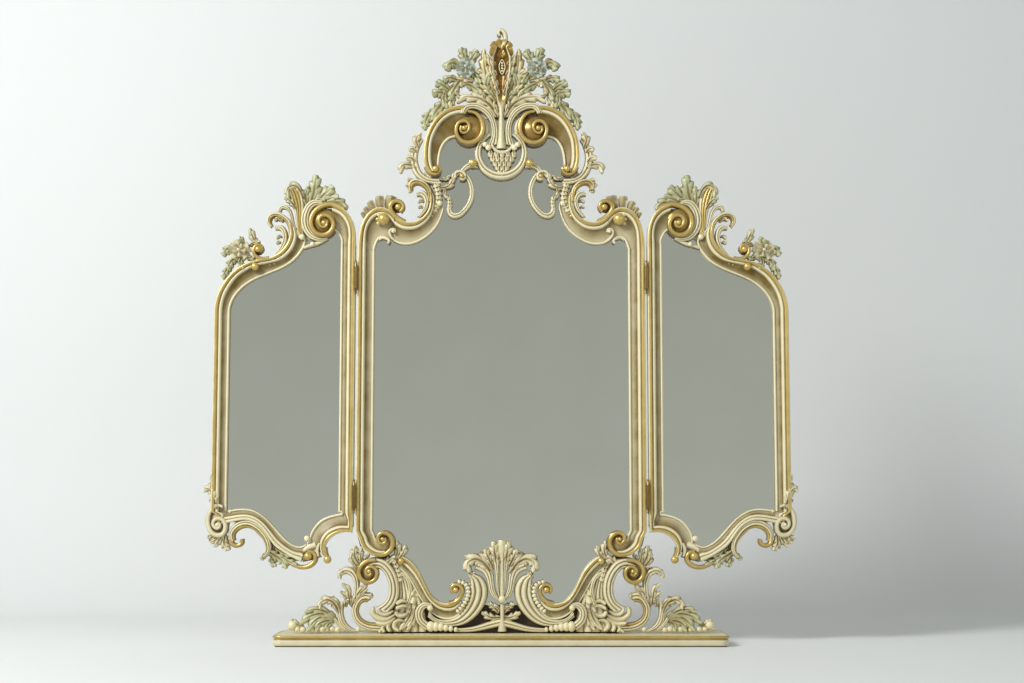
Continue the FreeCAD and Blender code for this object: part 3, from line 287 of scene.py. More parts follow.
def moulded(lip, sight, gold=1.0, heights=(1.0, 1.0), backing=0.0, cove_darkness=(1.0,)):
    """A frame moulding between two lines: a half-round gold lip on the first, a low round ridge beside it,
    a cove that falls like a power curve, and a bead on the second line. Where the band is narrow, all but
    the cove shrink with it."""
    outer = evenly(lip, BAND_STATIONS)
    inner = evenly(sight, BAND_STATIONS)
    width = np.maximum(np.linalg.norm(inner - outer, axis=1), NARROWEST)[:, None]
    fit = np.minimum(1.0, width / FULL_BAND)
    lip_radius = LIP_RADIUS * fit
    bead_radius = BEAD_RADIUS * fit
    top = RELIEF * spread(heights, BAND_STATIONS)[:, None]
    low = COVE_FLOOR * top
    turn = np.linspace(np.pi, 0.0, ROUND_POINTS)[None]
    roll = np.linspace(0.0, 1.0, ROUND_POINTS)[None]
    fall = np.linspace(0.0, 1.0, COVE_POINTS)[None]
    ridge_start = RIDGE_AT * lip_radius
    ridge_end = ridge_start + RIDGE_WIDTH * fit
    end = width - 2.0 * bead_radius
    lip_across = lip_radius * (1.0 + np.cos(turn))
    lip_height = top - lip_radius * (1.0 - np.sin(turn))
    ridge_across = ridge_start + RIDGE_WIDTH * fit * roll
    swell = RIDGE_SWELL * np.sin(np.pi * roll) ** RIDGE_POWER
    ridge_height = top - lip_radius * (RIDGE_FOOT - swell + RIDGE_TILT * roll)
    cove_across = ridge_end + (end - ridge_end) * (COVE_START + COVE_SPAN * fall)
    cove_height = low + (top - COVE_TOP * lip_radius - low) * (1.0 - fall) ** COVE_POWER
    bead_across = end + bead_radius * (1.0 + np.cos(turn))
    bead_height = low + BEAD_SWELL * bead_radius * np.sin(turn)
    none = np.zeros_like(width)
    rest = width - REBATE if backing else width
    members = [none, lip_across, ridge_across, cove_across, bead_across]
    across = np.concatenate([*members, width, rest, rest], 1)
    members = [none - backing, lip_height, ridge_height, cove_height, bead_height]
    height = np.concatenate([*members, none, none, none - backing], 1)
    xz = outer[:, None] + across[..., None] * ((inner - outer) / width)[:, None]
    members = [[0.0], gold * LIP_GILT, np.full(ROUND_POINTS, RIDGE_GILT), np.zeros(COVE_POINTS)]
    gilt = np.concatenate([*members, np.full(ROUND_POINTS, BEAD_GILT), np.zeros(3)])
    # Painted shade with the umber glaze in the cove: darkest under the ridge, fading towards the bead, and
    # deeper on some bands
    cove_glaze_and_shade = np.clip(spread(cove_darkness, BAND_STATIONS)[:, None] * (1.0 - COVE_FADE * fall), 0.0, 1.0)
    row = np.ones_like(width)
    back = BACK_GLAZE * row
    lip_glaze = row * np.full(ROUND_POINTS, LIP_GLAZE)
    # The feet of the ridge and the bead, and the sight edge's wall, get painted shade as well
    members = [back, lip_glaze, row * RIDGE_GLAZE_AND_SHADE, cove_glaze_and_shade, row * BEAD_GLAZE_AND_SHADE]
    glaze_and_shade = np.concatenate([*members, SIGHT_EDGE_SHADE * row, back, back], 1)
    return shell(xz, height, gilt, glaze_and_shade)


def upright(x_lip, x_sight, low, high):
    """A straight stile's moulding between two uprights."""
    lip = np.array([[x_lip, low], [x_lip, high]])
    sight = np.array([[x_sight, low], [x_sight, high]])
    return moulded(lip, sight, backing=BACKING)


def ribbed(edge, other, ridges, heights, gilt=(0.1,)):
    """A scroll of round ridges side by side between two lines: a dome over the whole band, less the valleys
    that a power of a sine cuts between the ridges."""
    outer = evenly(edge, BAND_STATIONS)
    inner = evenly(other, BAND_STATIONS)
    width = np.maximum(np.linalg.norm(inner - outer, axis=1), RIB_NARROWEST)[:, None]
    across = np.linspace(0.0, 1.0, RIB_POINTS * ridges + 1)[None]
    swell = np.abs(np.sin(np.pi * ridges * across)) ** RIB_POWER
    dome = np.sqrt(1.0 - RIB_DOME * (2.0 * across - 1.0) ** 2)
    top = RELIEF * spread(heights, BAND_STATIONS)[:, None]
    depth = np.minimum(VALLEY_BY_WIDTH * width / ridges, VALLEY_BY_HEIGHT * top)
    none = np.zeros_like(width)
    height = np.concatenate([none, top * dome - depth * (1.0 - swell), none], 1)
    share = np.concatenate([none, 0.0 * none + across, 1.0 + none], 1)
    xz = outer[:, None] + share[..., None] * (inner - outer)[:, None]
    coat = np.interp(across[0], (np.arange(len(gilt)) + 0.5) / len(gilt), gilt)
    gold = np.concatenate([[0.0], coat, [0.0]])
    # Umber glaze and painted shade in the valleys between the ridges and along the band's feet
    glaze_and_shade = np.concatenate([[0.9], 0.95 * (1.0 - swell[0]), [0.9]])
    return shell(xz, height, gold, glaze_and_shade)


def scroll(edge, other, *section):
    """A ribbed scroll between two edges in pixels."""
    return ribbed(drawn(edge), drawn(other), *section)


def boss(pixel, radius, height, gilt=0.45, glaze_and_shade=0.8):
    """A low round boss: circles that shrink from the foot of its wall up a flat cone."""
    angle = np.linspace(0.0, 2.0 * np.pi, 32, endpoint=False)[None]
    reach = np.array([1.0, 1.0, 0.92, 0.2])[:, None] * (radius * PIXEL)
    rise = np.array([0.0, 0.75, 0.9, 1.3])[:, None] * RELIEF * height + 0.0 * angle
    xz = face(pixel) + np.stack([reach * np.cos(angle), reach * np.sin(angle)], -1)
    # The darkening over the whole boss is umber glaze and also painted shade in the volute's hollow where
    # it sits
    return shell(xz, rise, gilt, glaze_and_shade)


def rim(pixels, radii, heights=(1.0, 1.0), gilt=1.0, glaze_and_shade=0.15, tint=0.0):
    """A round lip on upright walls carried along a line: a half circle of the station's radius, in
    millimetres, at its height."""
    line = evenly(drawn(pixels), RIM_STATIONS)
    radius = spread(radii, RIM_STATIONS)[:, None]
    top = np.maximum(RELIEF * spread(heights, RIM_STATIONS)[:, None], 1.05 * radius)
    turn = np.linspace(np.pi, 0.0, 11)[None]
    none = np.zeros_like(radius)
    across = np.concatenate([none - radius, radius * np.cos(turn), none + radius], 1)
    height = np.concatenate([none, top - radius * (1.0 - np.sin(turn)), none], 1)
    xz = line[:, None] + across[..., None] * square_to(line)[:, None]
    # Umber glaze and painted shade down the walls to the foot, lightest on the crown
    wall = np.concatenate([[1.0], np.linspace(1.0, 0.0, 6), np.linspace(0.2, 1.0, 5), [1.0]])
    return shell(xz, height, gilt, np.clip(glaze_and_shade + 0.7 * wall**2, 0.0, 1.0), tint)


def ball(spot, radius, height=0.8, gilt=1.0, tint=0.0, stretch=1.0, turn=0.0):
    """An egg: circles of latitude about its middle, which stands at a share of the relief in front of the
    face."""
    latitude = np.linspace(-0.47 * np.pi, 0.47 * np.pi, 11)[:, None]
    longitude = np.linspace(0.0, 2.0 * np.pi, 18, endpoint=False)[None]
    along = stretch * radius * np.cos(latitude) * np.cos(longitude)
    aside = radius * np.cos(latitude) * np.sin(longitude)
    x = spot[0] + along * np.cos(turn) - aside * np.sin(turn)
    z = spot[1] + along * np.sin(turn) + aside * np.cos(turn)
    middle = np.maximum(RELIEF * height - 0.3 * radius, 0.6 * radius)
    rise = middle + radius * np.sin(latitude) + 0.0 * longitude
    # Painted shade with the umber glaze on the egg's hind half, where it sinks towards the face it stands
    # on
    low = np.broadcast_to(np.clip(0.5 - np.sin(latitude), 0.0, 1.0), rise.shape)
    return shell(np.stack([x, z], -1), np.maximum(rise, 0.0), gilt, 0.8 * low, tint)


def knobs(rows, gilt=1.0, height=0.85):
    """Balls from rows of pixel and radius in pixels."""
    return [ball(face(spot), radius * PIXEL, height, gilt) for spot, radius in rows]


def husks(pixels, count, sizes, gilt, height):
    """A row of eggs along a line, each lying across it, of sizes in pixels that run from first to last."""
    spots = evenly(drawn(pixels), count)
    run = np.gradient(spots, axis=0)
    turns = np.arctan2(run[:, 1], run[:, 0]) + np.pi / 2
    radii = PIXEL * spread(sizes, count)
    return [ball(s, r, height, gilt, stretch=1.25, turn=t) for s, r, t in zip(spots, radii, turns)]


def leaf(rib, width, lobes=3, rise=0.7, lift=0.25, tint=0.0, gilt=0.0, blunt=False, dish=0.0):
    """A carved leaf: across each station of its rib an arch with a groove on the rib. The half width swells
    from the root and closes at the tip, and saw teeth, staggered left and right, cut its edge into leaning
    lobes with furrows between them. A blunt leaf has no groove, and a dished one is hollow."""
    line = evenly(rib, LEAF_LINE)
    length = np.linalg.norm(np.diff(line, axis=0), axis=1).sum()
    station = np.linspace(0.0, 1.0, LEAF_STATIONS)[:, None]
    front = np.linspace(-1.0, 1.0, LEAF_ACROSS)[None]
    back = np.linspace(BACK_REACH, -BACK_REACH, LEAF_BACK)[None]
    across = np.concatenate([front, back], 1)
    swell = ROOT_WIDTH + ROOT_SWELL * np.sin(np.pi / 2 * np.minimum(station / FULL_AT, 1.0))
    tip = (1.0 - station**5) ** 0.5 if blunt else (1.0 - station**2.6) ** 0.7
    lobe = (lobes * station + np.where(across < 0.0, 0.5, 0.0)) % 1.0
    tooth = np.minimum((lobe / LOBE_CREST) ** LOBE_POWER, (1.0 - lobe) / LOBE_END)
    notch = (1.0 - tooth) * np.minimum(station / LOBES_FROM, 1.0) * (lobes > 0)
    full = 0.5 * PIXEL * width * swell * np.maximum(tip, TIP_WIDTH)
    half = full * (1.0 - NOTCH_DEPTH * notch)
    ahead = LEAN * np.abs(across) ** LEAN_POWER * full / length
    share = np.clip(station + ahead, 0.0, 1.0)
    xz = read_at(line, share) + (across * half)[..., None] * read_at(square_to(line), share)
    body = RELIEF * (rise + lift * station**2)
    groove = np.exp(-((front / GROOVE_WIDTH) ** 2)) * (1.0 - station**4) * (not blunt)
    furrow = notch[:, :LEAF_ACROSS] ** 3 * np.abs(front) ** 0.7
    hollow = dish * (1.0 - front**4) * (1.0 - station**8)
    arch = np.sqrt(1.0 - LEAF_ARCH * front**2) - DISH_DEPTH * hollow
    top = body * (arch - GROOVE_DEPTH * groove - FURROW_DEPTH * furrow)
    under = body * UNDERCUT * ramp(station, 0.3, 0.6) * (1.0 - 0.2 * back**2)
    edge = ramp(np.abs(front), 0.55, 0.35)
    dive = ramp(np.abs(front), 0.78, 0.2) * (not dish)
    # Umber glaze and painted shade: in the groove, the furrows between lobes and the dish, along the edges
    # where the leaf dips to the ground, and at the root where leaves overlap; the underside is umber
    # throughout
    umber_and_shade = 0.9 * groove + 0.7 * furrow + hollow + 0.5 * dive + 0.6 * (1.0 - station) ** 1.5
    glaze_and_shade = np.concatenate([np.clip(umber_and_shade, 0.0, 1.0), np.ones_like(under)], 1)
    gold = np.concatenate([gilt * (0.35 + 0.65 * edge) + 0.0 * station, np.zeros_like(under)], 1)
    return shell(xz, np.concatenate([top, under], 1), gold, glaze_and_shade, tint)


def leaves(rows, **finish):
    """Leaves from rows of rib pixels, width in pixels and number of lobes."""
    return [leaf(drawn(rib), width, lobes, **finish) for rib, width, lobes in rows]


def hanging(pixels, count, width):
    """Husks that hang one over the other along a line: leaves without lobes, a step and a half long."""
    line = drawn(pixels)
    step = 1.0 / (count + 0.5)
    runs = [read_at(line, np.linspace(k, k + 1.5, 30) * step) for k in range(count)]
    return [leaf(run, width, 0, rise=0.55, lift=0.2, gilt=0.2) for run in runs]


def flower(pixel, radius, petals, tint, rise):
    """Blunt dished petals round a middle in two rings, the second smaller, higher and turned half a petal,
    and a bead."""
    spot = face(pixel)
    made = []
    for ring, reach in enumerate((radius, 0.62 * radius)):
        for petal in range(petals):
            angle = 2.0 * np.pi * (petal + 0.5 * ring) / petals + 0.4
            way = np.array([np.cos(angle), np.sin(angle)])
            rib = smooth_line([spot + 0.05 * reach * PIXEL * way, spot + reach * PIXEL * way])
            height = rise + 0.2 * ring
            made.append(leaf(rib, 1.15 * reach, 0, height, 0.15, tint, blunt=True, dish=0.3))
    made.append(ball(spot, 0.16 * radius * PIXEL, rise + 0.35, 0.3, tint))
    return made


# Pieces


def mirrored(shells):
    """The same shells on the other side of the middle."""
    return [(points * np.array([-1.0, 1.0, 1.0]), finish) for points, finish in shells]


def both_halves(shells):
    """Shells of the left half with their twins on the right."""
    return shells + mirrored(shells)


def closed_faces(rows, loop):
    """Corner indices of a shell's quads and of the two fans that close its ends."""
    index = np.arange(rows * loop).reshape(rows, loop)
    after = np.roll(index, -1, axis=1)
    quads = np.stack([index[:-1], after[:-1], after[1:], index[1:]], -1).reshape(-1, 4)
    pole = rows * loop
    opening = np.stack([np.full(loop, pole), after[0], index[0]], -1)
    closing = np.stack([np.full(loop, pole + 1), index[-1], after[-1]], -1)
    return quads, np.concatenate([opening, closing])


def held_ends(grid):
    """A shell's rows with one more just inside each end, which keeps the end's turn out of the smooth
    shading."""
    first = grid[:1] + HOLD * (grid[1:2] - grid[:1])
    last = grid[-1:] + HOLD * (grid[-2:-1] - grid[-1:])
    return np.concatenate([grid[:1], first, grid[1:-1], last, grid[-1:]])


def end_middle(loop):
    """A point inside an end loop for its fan: the loop's mean, drawn back towards its hindmost point."""
    middle = loop.mean(0)
    middle[1] += FAN_BACK * (loop[:, 1].max() - middle[1])
    return middle[None]


def outwards(points, quads, fans):
    """True if the faces look outwards: the signed volume under them is positive."""
    triangles = np.concatenate([quads[:, [0, 1, 2]], quads[:, [0, 2, 3]], fans])
    a, b, c = (points[triangles[:, k]] for k in range(3))
    return np.einsum("ij,ij->", a, np.cross(b, c)) > 0.0


def carve(node, shells, body, material):
    """One piece from its shells, riding on a body of the frame and standing for its node."""
    points, finish, quads, fans, first = [], [], [], [], 0
    for grid, coat in shells:
        grid, coat = held_ends(grid), held_ends(coat)
        flat = np.concatenate([grid.reshape(-1, 3), end_middle(grid[0]), end_middle(grid[-1])])
        four, three = closed_faces(*grid.shape[:2])
        if not outwards(flat - flat.mean(0), four, three):
            four, three = four[:, ::-1], three[:, ::-1]
        points.append(flat)
        ends = [coat[0].mean(0)[None], coat[-1].mean(0)[None]]
        finish.append(np.concatenate([coat.reshape(-1, 3), *ends]))
        quads.append(four + first)
        fans.append(three + first)
        first += len(flat)
    points, finish = np.concatenate(points) * MM, np.concatenate(finish)
    quads, fans = np.concatenate(quads), np.concatenate(fans)
    mesh = bpy.data.meshes.new(node + "_carving")
    mesh.vertices.add(len(points))
    mesh.vertices.foreach_set("co", points.ravel())
    mesh.loops.add(quads.size + fans.size)
    mesh.loops.foreach_set("vertex_index", np.concatenate([quads.ravel(), fans.ravel()]))
    sizes = np.concatenate([np.full(len(quads), 4), np.full(len(fans), 3)])
    mesh.polygons.add(len(sizes))
    mesh.polygons.foreach_set("loop_start", np.concatenate([[0], np.cumsum(sizes)[:-1]]))
    mesh.polygons.foreach_set("use_smooth", sizes == 4)
    for column, name in enumerate(FINISH):
        values = finish[:, column].copy()
        mesh.attributes.new(name, "FLOAT", "POINT").data.foreach_set("value", values)
    mesh.update(calc_edges=True)
    mesh.materials.append(material)
    piece = bpy.data.objects.new(node + "_carving", mesh)
    bpy.context.scene.collection.objects.link(piece)
    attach(piece, body)
    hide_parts(node)


def pair(stem, shells, material):
    """The left piece and its mirrored twin on the right."""
    for side, made in zip(SIDES, (shells, mirrored(shells))):
        body = side + "_wing" if stem.startswith("wing_") else "stand"
        carve(side + "_" + stem, made, body, material)


# Colour and finish


def linear(code):
    """A colour from its sRGB hex code, as linear light with alpha."""
    value = np.array([int(code[k : k + 2], 16) for k in (1, 3, 5)]) / 255.0
    light = np.where(value <= 0.04045, value / 12.92, ((value + 0.055) / 1.055) ** 2.4)
    return (*light.tolist(), 1.0)


def add(tree, kind, inputs=(), **settings):
    """Adds a node with its settings; an input that is a socket is linked, any other is set."""
    made = tree.nodes.new("ShaderNode" + kind)
    for name, value in settings.items():
        setattr(made, name, value)
    for name, value in dict(inputs).items():
        if isinstance(value, bpy.types.NodeSocket):
            tree.links.new(value, made.inputs[name])
        else:
            made.inputs[name].default_value = value
    return made


def blend(tree, share, first, second):
    """One of two colours turning to the other as a share runs from 0 to 1; hex codes are made linear."""
    colours = [linear(colour) if isinstance(colour, str) else colour for colour in (first, second)]
    return add(tree, "MixRGB", {"Fac": share, "Color1": colours[0], "Color2": colours[1]}).outputs[0]


def reckon(tree, operation, *values, clamp=False):
    """The result of a node that reckons with values."""
    inputs = dict(enumerate(values))
    return add(tree, "Math", inputs, operation=operation, use_clamp=clamp).outputs[0]


def ranged(tree, value, to=(0.0, 1.0), start=0.0, end=1.0):
    """A value's run from start to end drawn out over another range."""
    limits = {"From Min": start, "From Max": end, "To Min": to[0], "To Max": to[1]}
    return add(tree, "MapRange", {"Value": value, **limits}).outputs[0]


def noise(tree, place, scale, detail, roughness=0.6):
    """Cloudy noise of a scale at a place."""
    inputs = {"Vector": place, "Scale": scale, "Detail": detail, "Roughness": roughness}
    return add(tree, "TexNoise", inputs).outputs["Fac"]


def per_metre(size):
    """A pattern's scale from the size of its patches in millimetres."""
    return 1.0 / (size * MM)


def new_material(name):
    """An empty node material and its node tree."""
    material = bpy.data.materials.new(name)
    material.use_nodes = True
    material.node_tree.nodes.clear()
    return material, material.node_tree


def place_on(tree):
    """The place on an object that patterns follow."""
    return add(tree, "TexCoord").outputs["Object"]


def coated(material, surface):
    """The material, closed with a principled surface."""
    tree = material.node_tree
    principled = add(tree, "BsdfPrincipled", surface)
    add(tree, "OutputMaterial", {"Surface": principled.outputs[0]})
    return material


def carved_lacquer():
    """Aged ivory lacquer on carved wood: a chalky warm white with umber glaze and painted shade in the
    hollows, pale green and blue washes on leaves and flowers, and worn gold leaf on the lips."""
    material, tree = new_material("aged_ivory_lacquer_and_gold_leaf")
    place = place_on(tree)
    gilt, glaze_and_shade, tint = (add(tree, "Attribute", attribute_name=name).outputs["Fac"] for name in FINISH)
    cloud = noise(tree, place, per_metre(WIPE_PATCH), 4.0)
    grain = noise(tree, place, per_metre(CRACKLE), 3.0)
    ivory = blend(tree, cloud, "#F1EAC8", "#E5DBAF")
    green = blend(tree, cloud, "#D2D7B0", "#A6AE7E")
    blue = blend(tree, cloud, "#DCE5D8", "#A9BDAE")
    # A tint above 0 is the green wash, and one below 0 the blue
    washed = blend(tree, reckon(tree, "MAXIMUM", tint, 0.0), ivory, green)
    washed = blend(tree, reckon(tree, "MULTIPLY", tint, -1.0, clamp=True), washed, blue)
    # Umber glaze and painted shade in the hollows, wiped off unevenly
    wiped = ranged(tree, cloud, (0.82, 1.0), 0.35, 0.65)
    umber_and_shade = reckon(tree, "MULTIPLY", glaze_and_shade, wiped)
    umber_and_shade = reckon(tree, "MULTIPLY", umber_and_shade, 1.05, clamp=True)
    coat = blend(tree, umber_and_shade, washed, "#745D1E")
    # Gold leaf, worn through in patches where it is thin
    gold = blend(tree, cloud, "#EAD48E", "#C2A250")
    # The same umber and painted shade darken the gold in hollows
    gold = blend(tree, umber_and_shade, gold, "#7A5A20")
    worn = reckon(tree, "MULTIPLY_ADD", blend(tree, 0.5, cloud, grain), 0.7, gilt)
    leafed = ranged(tree, worn, start=0.72, end=0.9)
    surface = {
        "Base Color": blend(tree, leafed, coat, gold),
        "Metallic": reckon(tree, "MULTIPLY", leafed, 0.48),
        "Roughness": ranged(tree, leafed, (0.4, 0.32)),
        "Normal": add(tree, "Bump", {"Height": grain, "Strength": 0.25, "Distance": 0.0006}).outputs[0],
    }
    return coated(material, surface)


def grained(name, light, dark, roughness, streaks, metallic=0.0):
    """A plain material streaked along one way: noise stretched to streaks of a size in millimetres blends a
    light and a dark tone."""
    material, tree = new_material(name)
    along = tuple(per_metre(size) for size in streaks)
    drawn_out = add(tree, "Mapping", {"Vector": place_on(tree), "Scale": along}).outputs[0]
    streak = noise(tree, drawn_out, 1.0, 5.0)
    surface = {
        "Base Color": blend(tree, streak, light, dark),
        "Metallic": metallic,
        "Roughness": ranged(tree, streak, (roughness - 0.08, roughness + 0.08)),
        "Normal": add(tree, "Bump", {"Height": streak, "Strength": 0.1, "Distance": 0.0005}).outputs[0],
    }
    return coated(material, surface)


def silvered_glass():
    """Old silvered glass: a clear, slightly grey mirror with a faint unevenness in the silver."""
    material, tree = new_material("silvered_glass")
    cloud = noise(tree, place_on(tree), per_metre(TARNISH), 4.0, 0.5)
    colour = blend(tree, cloud, "#F1F3EE", "#E4E8E1")
    return coated(material, {"Base Color": colour, "Metallic": 1.0, "Roughness": 0.02})


# The centre's carvings, left side


def centre_stile():
    """The stile, and its foot that coils in to a volute."""
    straight_low = APRON_HIGH[2]
    lip_x, sight_x = STILE_LOW[0], STILE_LOW[0] + STILE_WIDTH
    lip_foot = [(359.5, 538), (362, 545.5), (367, 551.5), (375, 555.3), (384, 556)]
    sight_foot = [(375.2, 535), (377, 540), (380, 543.5), (383.5, 545.5), (387.5, 545.5)]
    lip = joined([lip_x, straight_low], lip_foot, -1)
    sight = joined([sight_x, straight_low], sight_foot, -1)
    turn = [
        (376, 554), (384, 554.3), (390, 550.8), (393, 545), (392.3, 538.5), (388, 533.5), (382.5, 532.8),
        (378.8, 536.5), (379.5, 541.5), (383.2, 543.4), (386.3, 541), (385.4, 537.8),
    ]
    return [
        upright(lip_x, sight_x, straight_low, STILE_HIGH[2]),
        moulded(lip, sight),
        boss((384.5, 543), 9.5, 0.55, 0.45, 0.45),
        rim(turn, (5.4, 6.0, 5.0, 3.4), (1.0, 1.05, 1.1)),
        *knobs([((383.3, 539), 2.2)], height=1.0),
    ]


def shoulder_scroll():
    """The stile's head that curls over, the fan on it, and the C-scroll of the neck."""
    head_lip = [
        (359.6, 238), (362.4, 225), (367.8, 215.5), (375, 210), (383, 208.8), (390, 211.5), (396, 217),
    ]
    head_sight = [(376.3, 246), (378.6, 241), (382.5, 238.6), (386.5, 239.2), (390, 241.5)]
    neck_lip = [
        (396.5, 217.5), (403, 222), (410, 223.3), (417, 222), (424, 217.5), (428.5, 211.5), (430.7, 204),
        (430.7, 197), (428.5, 190.5), (424, 185.8),
    ]
    neck_sight = [
        (391, 237), (396, 242.8), (404, 245.3), (413, 244.5), (423, 240), (432, 233), (439, 223.5),
        (443, 213.5), (444, 206), (441.5, 200),
    ]
    volute = [
        (405, 223), (398, 219), (392.5, 213.5), (390.8, 207.8), (393.5, 203.6), (398.5, 202.6),
        (402.8, 205.3), (403.3, 209.8), (400.8, 212.8),
    ]
    fan = [
        ([(367.5, 221), (362.6, 213.5)], 5, 0),
        ([(371, 217), (365.6, 208.5)], 6, 0),
        ([(375.5, 214.5), (370.3, 202.5)], 8, 0),
        ([(381.5, 213), (379.8, 197.3)], 10, 0),
        ([(388.5, 215), (391.8, 197)], 12.5, 0),
    ]
    curl_out = [
        (431.5, 203), (432, 193), (428, 185), (420.5, 180.5), (413, 180.3), (408.3, 185), (409.5, 191),
    ]
    curl_in = [
        (427, 202), (427.3, 194), (424.5, 189.3), (420, 186.3), (415.8, 186.3), (413.5, 188.5),
        (414, 191.5),
    ]
    scallops = [
        ([(415, 185), (411.5, 181.5), (408, 181)], 5, 0),
        ([(413.5, 186.5), (409.5, 185.5), (406.8, 187.5)], 5, 0),
        ([(413.5, 188.5), (411, 190), (410.5, 193.5)], 5, 0),
    ]
    tongue_out = [
        (421, 218.5), (427.3, 211), (429.6, 202.5), (428, 195.5), (422.8, 191.5), (416.8, 193.5),
    ]
    tongue_in = [
        (417.5, 217.5), (423, 209.5), (424.5, 203), (423, 199.3), (420.5, 197.5), (417.3, 197.5),
    ]
    barbs = [
        ([(424.5, 203), (421.5, 201.5), (418.5, 203.8)], 4, 0),
        ([(423.5, 209), (421, 207.5), (418.5, 209)], 3.5, 0),
    ]
    drops = [(398, 228), (408, 230), (418, 228.5), (427, 222.5), (433.5, 213), (437, 206)]
    meeting = [
        [(399, 243.5), (393.5, 240), (390.3, 235), (391, 230.8), (394.6, 230.3), (395.6, 233.3)],
        [(379, 240.5), (383, 238.4), (387, 239.4), (389.6, 242.2), (388, 244)],
    ]
    lip = joined([STILE_LOW[0], STILE_HIGH[2]], head_lip, 1)
    sight = joined([STILE_LOW[0] + STILE_WIDTH, STILE_HIGH[2]], head_sight, 1)
    return [
        moulded(lip, sight),
        moulded(drawn(neck_lip), drawn(neck_sight), heights=(1.0, 1.0, 0.9)),
        boss((397.5, 208.5), 5.0, 0.4),
        rim(volute, (6.0, 6.0, 4.4), (0.95, 1.05, 0.95)),
        *knobs([((398.8, 208.6), 3.2), ((384.2, 220.5), 6.2)], height=0.95),
        *knobs([((379.5, 216.5), 1.9), ((378, 220.5), 1.9), ((378.8, 224.5), 1.9)], 0.5, 0.8),
        *[rim(curl, (2.6, 4.0, 3.4), (0.4, 0.6, 0.7), 0.0) for curl in meeting],
        *knobs([((393.6, 232.4), 1.8), ((440, 204.5), 2.8)], 0.0, 0.7),
        *leaves(fan, rise=0.8, blunt=True, dish=0.6, gilt=0.1),
        scroll(curl_out, curl_in, 2, (0.95, 1.05, 0.95), (0.35, 0.95)),
        *leaves(scallops, rise=0.8, blunt=True, dish=0.3),
        scroll(tongue_out, tongue_in, 2, (0.9, 1.0, 0.95), (0.15,)),
        *leaves(barbs, rise=0.75),
        *husks(drops, 14, (1.3, 1.5, 1.9), 0.55, 0.42),
    ]


def crest_arch():
    """The arch's band, with the volute at its top and the bead at its foot."""
    lip = [
        (464, 107.3), (458, 107.6), (451, 109.2), (445, 112), (438.5, 117), (432.5, 124.5), (428, 133),
        (425.2, 142), (424, 152), (424, 162), (426, 169.5), (430, 174.5),
    ]
    sight = [
        (468, 136), (462, 137), (456.5, 138), (451, 139.2), (446.6, 142.3), (443, 147.3), (440.8, 153.5),
        (439.7, 160), (439.3, 165.5), (439, 170),
    ]
    foot = [(426, 168.5), (429.8, 173.8), (435, 175.6), (439.3, 173.3), (439.8, 169.5), (437, 167.8)]
    turn = [
        (468, 113.5), (475, 114.8), (480.5, 120), (483, 128), (481.5, 136.5), (476.3, 142.3),
        (469, 144.6), (461.5, 142.3), (457, 136), (457, 128.5), (461.5, 123.6), (467, 124), (469.6, 129),
        (467.5, 134), (463.2, 135.2), (460.8, 132), (461.8, 128.6),
    ]
    return [
        # This band's cove is darkened most: painted shade with its umber glaze
        moulded(drawn(lip), drawn(sight), 1.8, cove_darkness=(2.2,)),
        rim(foot, (4.5, 4.2, 3.4), (1.0, 0.95)),
        boss((469.7, 129.7), 13.2, 0.6, 0.95, 0.6),
        rim(turn, (3.0, 6.0, 6.0, 5.2, 4.2, 3.2), (1.0, 1.05, 1.15, 1.2)),
        *knobs([((464.6, 130.6), 2.6), ((436, 171), 3.2)], height=1.15),
        *knobs([((473, 164.5), 4.2)], height=0.85),
    ]


def crest_acanthus():
    """The horn beside the plume, and the ribbed leaf that runs over the volute and down to the ring."""
    over_out = [
        (497.8, 145), (498, 131), (495, 119), (488.3, 109.3), (479.3, 104.6), (470, 104), (462.5, 107.3),
        (460.5, 115),
    ]
    over_in = [
        (485.5, 148.5), (490, 142), (491.5, 132), (489.3, 121.8), (483, 114.5), (475.5, 111),
        (469.5, 111.5), (466, 115.5),
    ]
    inside = [(478, 117), (484, 121.5), (486.5, 129.5), (485, 138), (480.5, 143.5)]
    horn = [
        ([(497.5, 119), (491.5, 108.5), (482.5, 101.5), (472, 99), (463, 100), (457, 104.5)], 15, 4),
        ([(467, 99), (460, 97.5), (456.3, 94), (458.5, 90.5)], 6, 2),
        ([(484, 104), (483.5, 98), (481, 92.5)], 7, 2),
        ([(499, 119), (496, 111), (494, 103)], 7, 2),
    ]
    return [
        scroll(over_out, over_in, 3, (0.7, 0.9, 1.05), (0.1,)),
        rim(inside, (3.0, 6.0, 3.0), (0.5, 0.6, 0.5), 0.1),
        *leaves(horn, rise=0.8, lift=0.25, gilt=0.1),
        *knobs([((485.2, 146.2), 2.8)], 0.05, 0.8),
    ]


